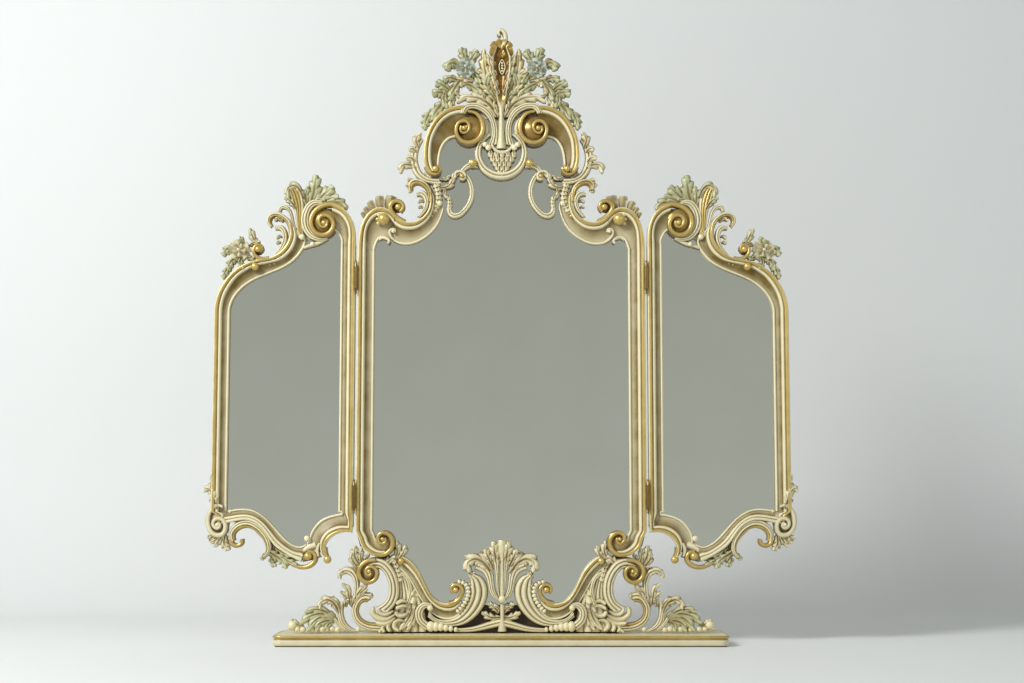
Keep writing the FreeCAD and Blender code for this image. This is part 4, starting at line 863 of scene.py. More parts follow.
def plume_stem():
    """The plume's stem and channel: the section of a round stem turns, over a quarter of the length, into a
    trough whose sides rise by a power, and a hood bends the tip forward."""
    low, high = face((502, 150))[1], face((502, 50))[1]
    half_widths = (5.6, 3.6, 3.0, 2.8, 3.2, 4.4, 6.0, 7.8, 9.2, 9.2, 5.0)
    share = np.linspace(0.0, 1.0, 60)[:, None]
    across = np.linspace(-1.0, 1.0, 25)[None]
    half = PIXEL * spread(half_widths, 60)[:, None]
    open_up = ramp(share, 0.35, 0.25)
    round_stem = np.sqrt(1.0 - 0.9 * across**2)
    channel = 0.45 + 0.6 * np.abs(across) ** 1.8
    hood = 0.35 * ramp(share, 0.8, 0.2) ** 2
    height = RELIEF * ((1.0 - open_up) * 0.95 * round_stem + open_up * channel + hood)
    xz = np.stack([half * across, low + (high - low) * share + 0.0 * across], -1)
    none = 0.0 * share
    # Umber glaze and painted shade deepen inside the channel, where it is also gilt
    inside = ramp(0.9 - np.abs(across), 0.0, 0.15) * open_up
    gilt = np.concatenate([0.1 + 0.75 * inside, none, none], 1)
    glaze_and_shade = np.concatenate([0.85 * inside + 0.15, 1.0 + none, 1.0 + none], 1)
    ends = np.stack([xz[:, -1], xz[:, 0]], 1)
    return shell(np.concatenate([xz, ends], 1), np.concatenate([height, none, none], 1), gilt, glaze_and_shade)


def crest_plume():
    """The stem that opens to a gilt channel with a drop in it, the hooked tip, and leaves each side."""
    side = [
        ([(496, 100), (488, 82), (484.5, 66), (484.3, 50.5)], 17, 4),
        ([(497, 104), (487.5, 92), (480, 86)], 12, 3),
    ]
    rim_leaf = [
        ([(499.5, 97), (496, 88), (492.5, 80)], 8, 2),
        ([(498, 88), (493.5, 78), (489.5, 70)], 9, 2),
        ([(497, 78), (491.5, 69), (488, 59.5)], 9, 2),
        ([(496, 68), (491, 61), (486.5, 56)], 8, 2),
    ]
    hood_leaf = [
        ([(501, 60), (495.5, 54), (490.5, 51.5)], 9, 0),
        ([(501.5, 59), (496.5, 50), (492.5, 45)], 9, 0),
        ([(502, 58), (500.5, 49), (498, 42.5)], 8, 0),
    ]
    hook = [(503.5, 48), (505.6, 40.5), (504.3, 35.3), (501, 32.8), (498.5, 35), (500, 38.3)]
    drop = [(502.2, 61), (504.8, 66), (504.5, 72), (502.2, 76), (499.9, 72), (499.6, 66), (502.2, 61)]
    beads = [((502.2, v), 1.1) for v in (65.0, 67.6, 70.2, 72.8)]
    return [
        plume_stem(),
        *both_halves(leaves(side, rise=0.6, gilt=1.1, tint=0.15)),
        *both_halves(leaves(rim_leaf, rise=0.95, lift=0.15, gilt=0.8)),
        *both_halves(leaves(hood_leaf, rise=1.0, gilt=1.6, blunt=True, dish=0.25)),
        rim(hook, (5.5, 5.5, 3.2), (1.0, 1.1), 0.35),
        rim(drop, (1.5, 1.5), (0.72, 0.72), 0.4),
        *knobs(beads, 0.3, 0.72),
    ]


def crest_ring():
    """The collar under the plume: an open ring with a curl at each end."""
    spot = np.array([0.0, face((502, 155))[1]])
    angle = np.radians(np.linspace(122.0, 418.0, 160))
    way = np.stack([np.cos(angle), np.sin(angle)], -1)
    outer = spot + 27.0 * PIXEL * way
    inner = spot + PIXEL * np.array([0.0, 1.8]) + 20.0 * PIXEL * way
    curls = knobs([((488.5, 149), 3.2)], 0.1, 0.75)
    return [ribbed(outer, inner, 2, (0.65, 0.85, 0.65)), *both_halves(curls)]


def crest_pendant():
    """A crescent, and rows of hanging husks that narrow to a tip."""
    crescent = [(491.5, 145.5), (495.5, 151.5), (502.2, 153.8), (509, 151.5), (513, 145.5)]
    rows = [
        (151, 11.0, 5),
        (155.5, 9.0, 5),
        (160, 6.5, 4),
        (164, 4.4, 3),
        (167.5, 2.2, 2),
        (170, 0.0, 1),
    ]
    made = [rim(crescent, (2.4, 5.0, 2.4), (0.8, 0.8), 0.1)]
    for v, reach, count in rows:
        for u in np.linspace(-reach, reach, count):
            husk = [(502.2 + u, v), (502.2 + 1.08 * u, v + 3.5), (502.2 + 0.95 * u, v + 7.5)]
            made.append(leaf(drawn(husk), 6.2, 0, 0.75 - 0.004 * (v - 150), 0.1))
    return made


def side_leaf():
    """The C-scroll outside the arch, with its horn and sprig."""
    scroll_out = [
        (420, 137), (412.8, 147), (409.8, 158), (412.2, 171), (420, 181), (431, 185), (441, 185.5),
    ]
    scroll_in = [
        (423.5, 141), (419.5, 149.5), (418, 159), (420, 168.5), (425, 175.5), (432, 178.8), (439, 179),
    ]
    tips = [
        ([(417, 170), (410, 166), (403, 167), (401, 174.5)], 11, 2),
        ([(419.5, 149), (416.5, 141), (421.5, 134)], 10, 2),
        ([(416, 164), (410.5, 159), (406.5, 160)], 8, 0),
        ([(417, 154), (412, 150), (409.5, 152)], 7, 0),
    ]
    return [
        scroll(scroll_out, scroll_in, 2, (0.4, 0.6, 0.6)),
        *leaves(tips, rise=0.6, gilt=0.15),
    ]


def flower_spray():
    """A branch with a blossom and leaves beside the plume."""
    branch = [(489, 76), (478, 77.5), (466, 80.5), (456, 84.5), (448, 92), (443, 102), (437, 113)]
    green = [
        ([(467, 66), (464.5, 58), (461, 49.5)], 14, 2),
        ([(469, 66), (473.5, 58), (477.3, 51.5)], 14, 2),
        ([(460, 69), (452.5, 64.5), (446.5, 71.5)], 16, 2),
        ([(458, 82), (451, 79.5), (443.5, 82.5)], 12, 2),
        ([(450, 92), (443.5, 87), (435.5, 84.5)], 14, 2),
        ([(448, 97), (440.5, 94), (432.5, 96)], 14, 2),
        ([(445.5, 93), (444.5, 101.5), (447.5, 110)], 12, 2),
        ([(446, 102), (438.5, 110), (432.5, 122)], 18, 2),
        ([(437, 110), (429.5, 116), (425, 131)], 14, 4),
        ([(461, 81), (455.5, 89.5), (449.5, 102)], 14, 2),
        ([(466, 85), (474, 89), (482, 95.5)], 14, 2),
        ([(488.5, 94), (486.5, 84.5), (490.5, 74.5)], 14, 2),
        ([(497, 103), (492, 96.5), (487, 92)], 10, 2),
        ([(472, 72), (476, 78), (481, 85)], 11, 2),
    ]
    bronze = [([(490, 80), (483, 75.5), (475, 71)], 11, 2), ([(474, 82), (465, 80), (456.5, 79)], 10, 2)]
    cream = [
        ([(456, 98), (452.5, 102), (450, 109)], 10, 2),
        ([(468, 84.5), (463.5, 84.5), (460.5, 88)], 9, 2),
    ]
    return [
        rim(branch, (4.0, 4.4, 3.0), (0.45, 0.5), 0.5, 0.6, 0.3),
        *leaves(green, rise=0.65, lift=0.3, tint=0.9),
        *leaves(bronze, rise=0.6, gilt=0.75),
        *leaves(cream, rise=0.6),
        *flower((466, 69.5), 9.5, 5, -1.0, 1.05),
    ]


def ear_scroll():
    """The loop beside the ring, with bead drops and a shell between it and the neck."""
    loop_out = [
        (454, 177), (455.5, 172.5), (461, 170.6), (468, 174.6), (473, 183), (474.8, 193), (473, 203),
        (467.3, 212.2), (458.8, 218.8), (451, 218.5), (447, 213), (447.5, 206),
    ]
    loop_in = [
        (457.6, 178), (459, 176.3), (461.6, 176.4), (465.4, 179.4), (468.6, 186), (469.8, 193.4),
        (468.2, 201), (463.4, 208.6), (457.2, 213.4), (453.6, 212.8), (452, 209.8), (452.2, 206),
    ]
    shells = [
        ([(440, 189), (447, 188), (452.3, 183), (453.5, 174.5)], 9, 3),
        ([(439, 178), (444.5, 180), (450.5, 176.5)], 6, 2),
        ([(446, 189), (445, 195), (449.5, 200.5)], 5, 2),
    ]
    link_out = [(458.5, 174), (463, 167.5), (469.5, 163.5), (477, 164.5)]
    link_in = [(462.5, 177), (466.3, 171.5), (471, 168.8), (478, 169.5)]
    curl = [(455.5, 179), (456, 174), (460.5, 172.6), (465, 175.8), (464, 180.3), (460.3, 180)]
    return [
        scroll(loop_out, loop_in, 2, (0.6, 0.7, 0.7, 0.6)),
        scroll(link_out, link_in, 2, (0.6, 0.6)),
        rim(curl, (3.4, 4.0, 3.4), (0.75, 0.8), 0.2),
        *knobs([((462, 177.6), 2.2)], 0.9, 0.9),
        *hanging([(435.5, 182), (437.3, 188.5), (438.8, 196), (438, 203), (434, 212)], 7, 9.0),
        *hanging([(448.5, 196), (449.8, 201.5), (449.8, 206), (449, 211)], 4, 6.0),
        *leaves(shells, rise=0.6, gilt=0.15),
    ]


def apron_scroll():
    """The S-rail under the glass with its volute, the ribbed leaf that sweeps up to the palmette,
    shells and beads."""
    lip = [
        (403.5, 556), (409, 559.3), (415, 565), (420.8, 574), (425.6, 584.3), (430.5, 593.3),
        (437, 599.8), (445.5, 602.8), (453.6, 601.3), (459.5, 596),
    ]
    sight = [
        (398, 567), (403.5, 572.5), (410, 580.5), (415.5, 590), (421, 599.5), (428, 609), (436, 616),
        (446, 619.5), (456, 617.5), (464, 609),
    ]
    volute = [
        (449, 603.4), (456, 601.3), (461, 596), (462.6, 590.3), (460.5, 585.7), (456, 584.2),
        (452, 586.3), (451.6, 590.3), (454, 592.5),
    ]
    sweep_out = [
        (428, 617), (438, 624), (452, 626.3), (466, 623.5), (477, 615.5), (484.5, 605.5), (488, 594),
        (486.5, 583.5), (481, 576.3), (473, 573.5),
    ]
    sweep_in = [
        (429.5, 609.5), (434, 616), (444, 619.5), (454.5, 617), (462, 610), (467, 601), (469.5, 592),
        (470, 585.5), (470.5, 581), (469.5, 577),
    ]
    curl_out = [(432, 603.5), (424.5, 601.5), (417.8, 605.5), (414.8, 613), (417, 622), (426, 630.5)]
    curl_in = [(431, 607.8), (427, 607.8), (424.3, 610.5), (423.6, 614.5), (425.4, 618.8), (430, 622.5)]
    frills = [(459.5, 581.5), (465, 583.5), (468.3, 589), (467.5, 597), (463.5, 604.5), (458, 610.5)]
    stalk_out = [(401, 571), (407.5, 575), (412, 584), (412.8, 594), (409, 605)]
    stalk_in = [(400.5, 575), (405, 578.5), (408, 586), (408.3, 594.5), (405, 604)]
    fill_out = [(398, 566), (407, 574), (414.5, 587), (420, 598), (425, 612), (427, 631.5)]
    fill_in = [(390, 563), (396.5, 574), (399, 586), (397.5, 600), (391, 614), (385, 631.5)]
    tufts = [
        ([(384, 568), (389.5, 561), (396, 556)], 11, 2),
        ([(394, 560), (398, 552), (397, 541)], 10, 2),
        ([(398, 560), (403, 554), (406, 545.5)], 9, 2),
        ([(416, 607), (414, 618), (407.5, 629.5)], 11, 3),
        ([(412.5, 608), (408.5, 619), (400, 629.5)], 9, 0),
        ([(472, 580), (471, 576), (475, 572)], 7, 3),
        ([(474, 592), (470.5, 588), (470, 583)], 6, 2),
    ]
    licks = [
        ([(421, 595), (415.5, 596), (413, 603)], 8, 0),
        ([(418, 589.5), (414.3, 590.5), (412.8, 595)], 5.5, 0),
    ]
    lobes = [
        ([(408, 602), (402.5, 600.6), (397, 603.6)], 4.6, 0),
        ([(409, 606.8), (402.5, 605.6), (396.6, 608.4)], 4.6, 0),
        ([(409, 612), (403.5, 615.2), (398, 614.4), (396.3, 611)], 5.2, 0),
        ([(405, 620.6), (399, 620), (395, 622.4), (395, 627), (399, 630)], 5.4, 0),
        ([(396, 619.5), (390.5, 621.8), (388.4, 626.6), (390.5, 630.6)], 5.4, 0),
        ([(388, 622.5), (384.2, 625), (383, 628.6), (385, 631)], 4.6, 0),
    ]
    return [
        moulded(drawn(lip), drawn(sight)),
        rim(volute, (5.4, 4.8, 3.4), (1.0, 1.1, 0.95)),
        *knobs([((456, 589.6), 3.2), ((401.7, 560.8), 3.4)], height=0.95),
        *knobs([((430.5, 607.5), 3.0)], 0.05, 0.85),
        scroll(fill_out, fill_in, 5, (0.3, 0.42, 0.42)),
        scroll(sweep_out, sweep_in, 3, (0.7, 0.75, 0.85, 0.9)),
        scroll(curl_out, curl_in, 3, (0.85, 0.85, 0.7)),
        scroll(stalk_out, stalk_in, 2, (0.6, 0.65, 0.6)),
        *leaves(tufts, rise=0.6, gilt=0.1),
        *leaves(licks, rise=0.35, lift=0.5, blunt=True),
        *leaves(lobes, rise=0.8, blunt=True),
        *hanging([(392, 557.5), (396.3, 564.5), (399, 572), (400.8, 581)], 5, 7.0),
        *husks(frills, 11, (1.7, 2.0, 1.7), 0.1, 0.85),
        *husks([(431, 626), (438, 626.3), (446, 627.3), (456, 629)], 6, (4.2, 2.0), 0.05, 0.7),
    ]


def console_scroll():
    """The big C-scroll under the stile with its volute, and the lower C on the base with its shell."""
    big_out = [
        (363, 562.5), (369, 558.5), (377, 557), (385, 559.3), (391.5, 565), (397, 574), (399.8, 585),
        (399.3, 596), (396, 604.5), (390, 611.5),
    ]
    big_in = [
        (373, 570.5), (377.5, 568.8), (381, 569.6), (384.5, 573), (387.5, 579), (389.2, 586),
        (388.8, 593.5), (386.3, 600), (381.8, 604.3), (376, 607),
    ]
    volute = [
        (376, 559.6), (368, 560.8), (361.6, 565.8), (359.6, 572.3), (362, 578.5), (367.5, 581.8),
        (373.5, 580.6), (377.3, 575.8), (376.8, 569.6), (372.3, 566.3), (367.8, 568), (366.6, 572),
        (369.2, 575), (372.4, 573.4),
    ]
    low_out = [
        (373, 593.5), (365, 591.8), (357.3, 597), (352.6, 605.5), (352.3, 614), (356.3, 623),
        (364.5, 629), (381, 631.5),
    ]
    low_in = [
        (368, 602), (363, 602.8), (359.6, 608), (359.8, 614), (363.8, 619.3), (371, 622), (383, 622),
    ]
    shells = [
        ([(396, 613.5), (386.5, 619), (377.6, 617), (373.4, 611.5), (374.4, 606.6)], 6.6, 0),
        ([(394, 610), (387, 614), (381.2, 612.6), (379, 608)], 5, 0),
        ([(396, 617), (387, 623), (376.5, 622.4)], 6, 0),
        ([(386, 631.5), (382, 629.5), (379.5, 631.5)], 4, 0),
    ]
    spray = [
        ([(352, 607), (357, 596), (363, 588), (370, 581)], 9, 3),
        ([(355, 604), (361, 595.5), (368.5, 588.5)], 6, 2),
        ([(366, 599), (371, 597), (372, 593)], 6, 2),
    ]
    return [
        scroll(big_out, big_in, 3, (0.8, 1.0, 0.9), (0.05, 0.05, 0.2)),
        boss((369, 571), 9.0, 0.6, 0.45, 0.4),
        rim(volute, (5.0, 6.0, 4.8, 3.2), (1.05, 1.1, 1.2), 0.65),
        *knobs([((370, 571), 2.4)], height=1.1),
        scroll(low_out, low_in, 3, (0.75, 0.85, 0.7), (0.1, 0.1, 1.0)),
        *leaves(shells, rise=0.85, blunt=True),
        *leaves(spray, rise=0.75, gilt=0.05),
    ]


def console_leaves():
    """The leaves and berries that run out along the base from the console."""
    roll_out = [(353, 605), (354, 592), (354.3, 583), (351.8, 577), (346.5, 574), (341.3, 575.5)]
    roll_in = [
        (358.5, 603), (359.3, 592), (360, 582), (358, 573.5), (352.5, 567.8), (345.5, 566.8),
        (339.5, 571),
    ]
    stem_out = [(352, 631.5), (343, 627.5), (338, 619.5), (336.8, 611), (333, 605), (326, 601.5)]
    stem_in = [(357, 630), (349.5, 625.5), (345, 618.5), (343.8, 610), (346, 602)]
    runner_out = [(345, 631.5), (337, 625), (332, 618), (325.5, 613.5)]
    runner_in = [(346, 628.5), (340, 622.5), (335.5, 615.5), (329, 610.5)]
    tips = [
        ([(352, 572.5), (345, 571), (340.5, 574.5), (341, 579)], 8, 3),
        ([(351, 605), (349.5, 595), (347.5, 587.5), (342, 583)], 9, 2),
        ([(350, 602), (345.5, 595.5), (340.8, 590.5)], 6, 2),
        ([(340, 613), (335.5, 604), (328.5, 599.5), (321, 603.5), (321, 609)], 12, 4),
        ([(341, 609), (337, 601), (332, 598)], 7, 2),
        ([(347, 607), (346.5, 601.5), (350, 599)], 6, 2),
        ([(358, 572), (356, 568), (352.5, 565.5)], 4, 0),
    ]
    tuft = [
        ([(361, 565), (355.5, 556), (356, 545.5)], 12, 3),
        ([(363, 565), (361.5, 557), (362.5, 547.5)], 8, 2),
        ([(358, 566), (353, 560), (352.5, 552.5)], 9, 2),
        ([(366, 562), (367, 557), (370, 553.5)], 6, 2),
    ]
    vine = [
        ([(336, 617), (327, 611.5), (317, 609), (305, 612)], 11, 3),
        ([(335, 618), (323, 613.5), (311, 616), (301, 623)], 14, 3),
        ([(334, 619), (322, 617), (314, 622.5), (308, 631)], 13, 2),
        ([(334, 620), (325, 621), (319, 625), (317, 631.5)], 12, 2),
        ([(335, 621), (329, 624.5), (328, 631)], 10, 2),
    ]
    berries = [
        ((298, 628.8), 2.6), ((303.5, 629), 3.0), ((312.5, 629.5), 2.8), ((322.5, 629), 3.4),
        ((332.5, 628.5), 3.2), ((338, 629.3), 3.0), ((358.5, 629), 2.6), ((327, 626), 2.6),
    ]
    bud = [([(304, 626.5), (298, 624), (292, 619)], 8, 2), ([(303, 628), (297, 627), (289, 628)], 7, 2)]
    return [
        scroll(roll_out, roll_in, 2, (0.7, 0.8, 0.75)),
        scroll(stem_out, stem_in, 3, (0.7, 0.75, 0.6)),
        scroll(runner_out, runner_in, 2, (0.7, 0.75, 0.6)),
        *leaves(tips, rise=0.75, gilt=0.15),
        *leaves(tuft, rise=0.6, tint=0.2),
        *leaves(vine, rise=0.75, tint=0.6),
        *leaves(bud, rise=0.5, gilt=0.2),
        *knobs(berries, 0.05, 0.5),
        *knobs([((293, 624.6), 4.4)], 0.2, 0.5),
    ]


def apron_palmette():
    """The fan in the middle of the apron with its stem, and the swags that run out on the base."""
    rib = [(502.2, 600), (502.2, 575), (502.2, 552)]
    inner_out = [(500.5, 601), (496.5, 588), (495, 572), (492.5, 560), (489.5, 549)]
    inner_in = [(501, 600), (499.3, 588), (499.3, 572), (499.5, 560), (500, 548)]
    outer_out = [(499.5, 602), (490.5, 594), (487.5, 583), (482.5, 573), (474.5, 569.5)]
    outer_in = [(500.5, 600), (495.5, 590), (493.8, 577), (490, 564.5), (482, 559)]
    crowns = [
        ([(498, 566), (495, 553), (494, 541.5)], 15, 3),
        ([(493, 566), (488, 556), (485.5, 549)], 12, 3),
        ([(492, 574), (484, 563), (475, 559), (468, 563.5), (469.5, 572)], 18, 4),
    ]
    top = [([(502.2, 562), (502.2, 552), (502.2, 540)], 10, 0)]
    low = [
        ([(501, 617), (491, 617), (482, 611.5)], 10, 3),
        ([(499, 613), (493, 606), (488, 603)], 9, 3),
        ([(500, 611), (497, 606.5), (493.5, 606)], 6, 2),
    ]
    swag_out = [(500.5, 618), (490, 620.8), (474, 626), (456, 627.8)]
    swag_in = [(501.5, 626), (491, 628.3), (474, 631.5), (456, 632)]
    foot = [(502.2, 604), (502.2, 616), (502.2, 631)]
    return [
        rim(rib, (5.5, 4.0, 3.0), (0.85, 0.85), 0.1),
        *leaves(top, rise=0.75, blunt=True, gilt=0.4),
        *both_halves([scroll(inner_out, inner_in, 2, (0.75, 0.8, 0.7), (0.1,))]),
        *both_halves([scroll(outer_out, outer_in, 3, (0.75, 0.75, 0.7), (0.1,))]),
        *both_halves(leaves(crowns, rise=0.75, gilt=0.35)),
        *both_halves(leaves(low, rise=0.6, gilt=0.1)),
        *both_halves([scroll(swag_out, swag_in, 2, (0.7, 0.5))]),
        *knobs([((502.2, 598.5), 3.6)], 0.1, 0.95),
        rim(foot, (5.0, 4.5, 11.0), (0.75, 0.7), 0.1),
    ]


# The wings' carvings, left side


def wing_inner_stile():
    """The stile beside the hinges."""
    return [upright(INNER_HIGH[0], INNER_LOW[0], INNER_LOW[2], INNER_HIGH[2])]


def wing_outer_stile():
    """The stile on the outside."""
    return [upright(OUTER_LOW[0], OUTER_HIGH[0], OUTER_LOW[2], OUTER_HIGH[2])]


def wing_top_rail():
    """The outer shoulder that rises in an S to a leafy curl."""
    lip = [
        (219.5, 293.5), (225.2, 283), (231.5, 275), (239.5, 268.6), (248, 264), (255, 261.8),
        (263, 260.3), (271, 258.6), (279, 254.4), (285.5, 248), (289.5, 240.5), (291, 232.5),
        (289.5, 224.5),
    ]
    sight = [
        (235.6, 297), (243.4, 288), (254.2, 280.6), (267.2, 275), (280.2, 269.7), (293.2, 262),
        (302, 252.4), (306, 243.7), (305, 236),
    ]
    volute = [
        (270, 259.3), (263, 260), (256.8, 256.6), (255, 251.5), (257, 247), (261.3, 246.5),
        (263.3, 250.3), (261.5, 253.3),
    ]
    head_out = [
        (293.5, 240), (294.3, 231), (291, 221.5), (284.5, 215.5), (276, 213), (269.5, 216),
        (267.5, 222.5), (271.5, 228.8),
    ]
    head_in = [
        (289, 240), (289.5, 232), (287.3, 225), (283, 220.3), (277.5, 218), (273.5, 219.3),
        (272.3, 222.8), (274, 226),
    ]
    stem_out = [
        (303, 236), (297.5, 230), (294.5, 221.5), (292.5, 212.5), (287.5, 206.3), (281, 206),
        (278.3, 211.5),
    ]
    stem_in = [
        (299, 239), (294.5, 231.5), (291.5, 223), (289.3, 214.5), (286, 210.3), (282.8, 210.3),
        (282, 213),
    ]
    tongue_out = [(277, 257), (284, 250), (288.2, 241.5), (287.8, 232.5), (283, 226.3), (276, 226.5)]
    tongue_in = [(273, 257.5), (279.3, 249.5), (282.8, 241.5), (283, 235), (280.3, 231.3), (276.3, 231)]
    barbs = [
        ([(283, 238), (280, 237), (277.5, 240)], 4, 0),
        ([(282, 244), (279.5, 243), (277, 245)], 4, 0),
    ]
    curls = [([(284, 223), (279.5, 219.5), (275.5, 222)], 7, 2)]
    drops = [(262, 265.5), (273, 264), (284, 258), (292.5, 249.5), (297, 240)]
    lip = joined([OUTER_LOW[0], OUTER_HIGH[2]], lip, 1)
    sight = joined([OUTER_HIGH[0], OUTER_HIGH[2]], sight, 1)
    return [
        # The rail's cove is darker than the stile's: painted shade with its umber glaze
        moulded(lip, sight, cove_darkness=(1.0, 1.5, 1.5, 1.5)),
        boss((259.3, 251), 4.6, 0.4),
        rim(volute, (5.0, 4.4, 3.4), (1.0, 1.05, 0.9)),
        *knobs([((259.5, 250.6), 3.4), ((256.4, 267.8), 4.0)], height=0.95),
        *knobs([((302.7, 238), 3.0)], 0.05, 0.7),
        scroll(head_out, head_in, 2, (0.95, 1.0, 0.9), (0.2, 0.7)),
        scroll(stem_out, stem_in, 2, (0.6, 0.7, 0.7), (0.1,)),
        scroll(tongue_out, tongue_in, 2, (0.8, 0.95, 0.9), (0.1,)),
        *leaves(barbs, rise=0.75),
        *leaves(curls, rise=0.8, gilt=0.9),
        *husks(drops, 12, (1.3, 1.6, 1.3), 0.5, 0.42),
    ]


def wing_crest():
    """The inner stile's head that coils to a big volute, the C band beside it, plume and leaves."""
    lip = [(355.4, 230), (351, 217.5), (343, 209), (333, 204.6)]
    sight = [(341.5, 242), (339.6, 236.5), (336.5, 232.3), (332.5, 230)]
    turn = [
        (345, 210.5), (335, 206), (325, 206.8), (316.5, 212), (312, 220.8), (313.6, 230.3), (320.5, 236),
        (329, 234.8), (334, 228), (332.3, 220.3), (326, 216.7), (320.6, 219.6), (320.4, 225),
        (323.6, 228.7), (327.8, 227.2), (328, 223),
    ]
    band_out = [
        (324, 203.5), (317.5, 200.3), (310.5, 201.6), (304.8, 207.6), (301.4, 216), (301.4, 225.3),
        (305.5, 234.5), (313.5, 241), (326, 241.8),
    ]
    band_in = [
        (322.5, 208.5), (318, 206.8), (314.3, 208.8), (311.2, 214.3), (310.2, 221.5), (311.7, 229),
        (315.8, 234.6), (320.5, 237.3), (328, 237.3),
    ]
    under = [(304, 248.5), (311, 246), (319, 243.5), (328, 239)]
    plume_out = [(299, 238), (296.5, 222.5), (295, 212.5), (292.3, 204), (290, 196.5), (289, 190)]
    plume_in = [(306, 242), (303.3, 226), (304.3, 212), (304.2, 201), (301.6, 192.5), (296.5, 187)]
    turned = [
        ([(304, 199), (300.3, 190.5), (294, 187), (288.8, 191), (290, 199)], 11, 3),
        ([(297, 210), (291.5, 202.5), (285.5, 198.5)], 10, 3),
    ]
    green = [
        ([(311, 207), (314.5, 194), (317, 176)], 18, 3),
        ([(313, 206), (323, 197.5), (334.5, 187.5)], 18, 3),
        ([(319, 206), (330, 200), (339.5, 198)], 15, 2),
        ([(330, 207), (339.5, 203.5), (347, 210.5)], 13, 2),
        ([(308, 208), (306.5, 198), (309, 187)], 11, 3),
        ([(314, 205), (320, 200.5), (326, 201.5)], 9, 2),
    ]
    head = np.array([INNER_HIGH[0], INNER_HIGH[2]])
    neck = np.array([INNER_LOW[0], INNER_HIGH[2]])
    return [
        moulded(joined(head, lip, 1), joined(neck, sight, 1)),
        boss((323.5, 221.3), 12.5, 0.6, 0.9, 0.45),
        rim(turn, (6.0, 6.4, 6.2, 5.2, 3.6), (0.95, 1.0, 1.1, 1.15), 0.8),
        *knobs([((325, 224.4), 2.8)], height=1.05),
        scroll(band_out, band_in, 3, (0.7, 0.8, 0.75), (0.05,)),
        rim(under, (3.5, 5.0, 3.5), (0.5, 0.5), 0.05),
        *knobs([((313, 245), 2.4)], 0.05, 0.6),
        scroll(plume_out, plume_in, 4, (0.6, 0.7, 0.8), (0.1, 0.75, 0.75, 0.1)),
        *leaves(turned, rise=0.8, tint=0.35, gilt=0.35),
        *leaves(green, rise=0.5, lift=0.3, tint=0.85),
    ]


def wing_rose():
    """The rose on the shoulder with its leaves."""
    pale = [
        ([(258, 246), (253.5, 237), (250.5, 229)], 10, 2),
        ([(250, 247), (255, 243.5), (261, 243)], 8, 2),
    ]
    green = [
        ([(237, 254), (231, 249.5), (224, 257)], 12, 3),
        ([(240, 258), (233.5, 262), (229, 271.5)], 11, 3),
        ([(234, 264), (228.5, 270.5), (224, 280)], 10, 3),
        ([(243, 258), (241.5, 264), (244.5, 270)], 10, 2),
        ([(247, 257), (252, 259.5), (256, 258)], 8, 2),
        ([(240, 246), (243, 241.5), (241, 238)], 7, 2),
    ]
    return [
        *leaves(pale, rise=0.55, tint=0.25),
        *leaves(green, rise=0.9, lift=0.15, tint=0.7),
        *flower((240.5, 251.5), 10.5, 5, 0.2, 1.0),
    ]


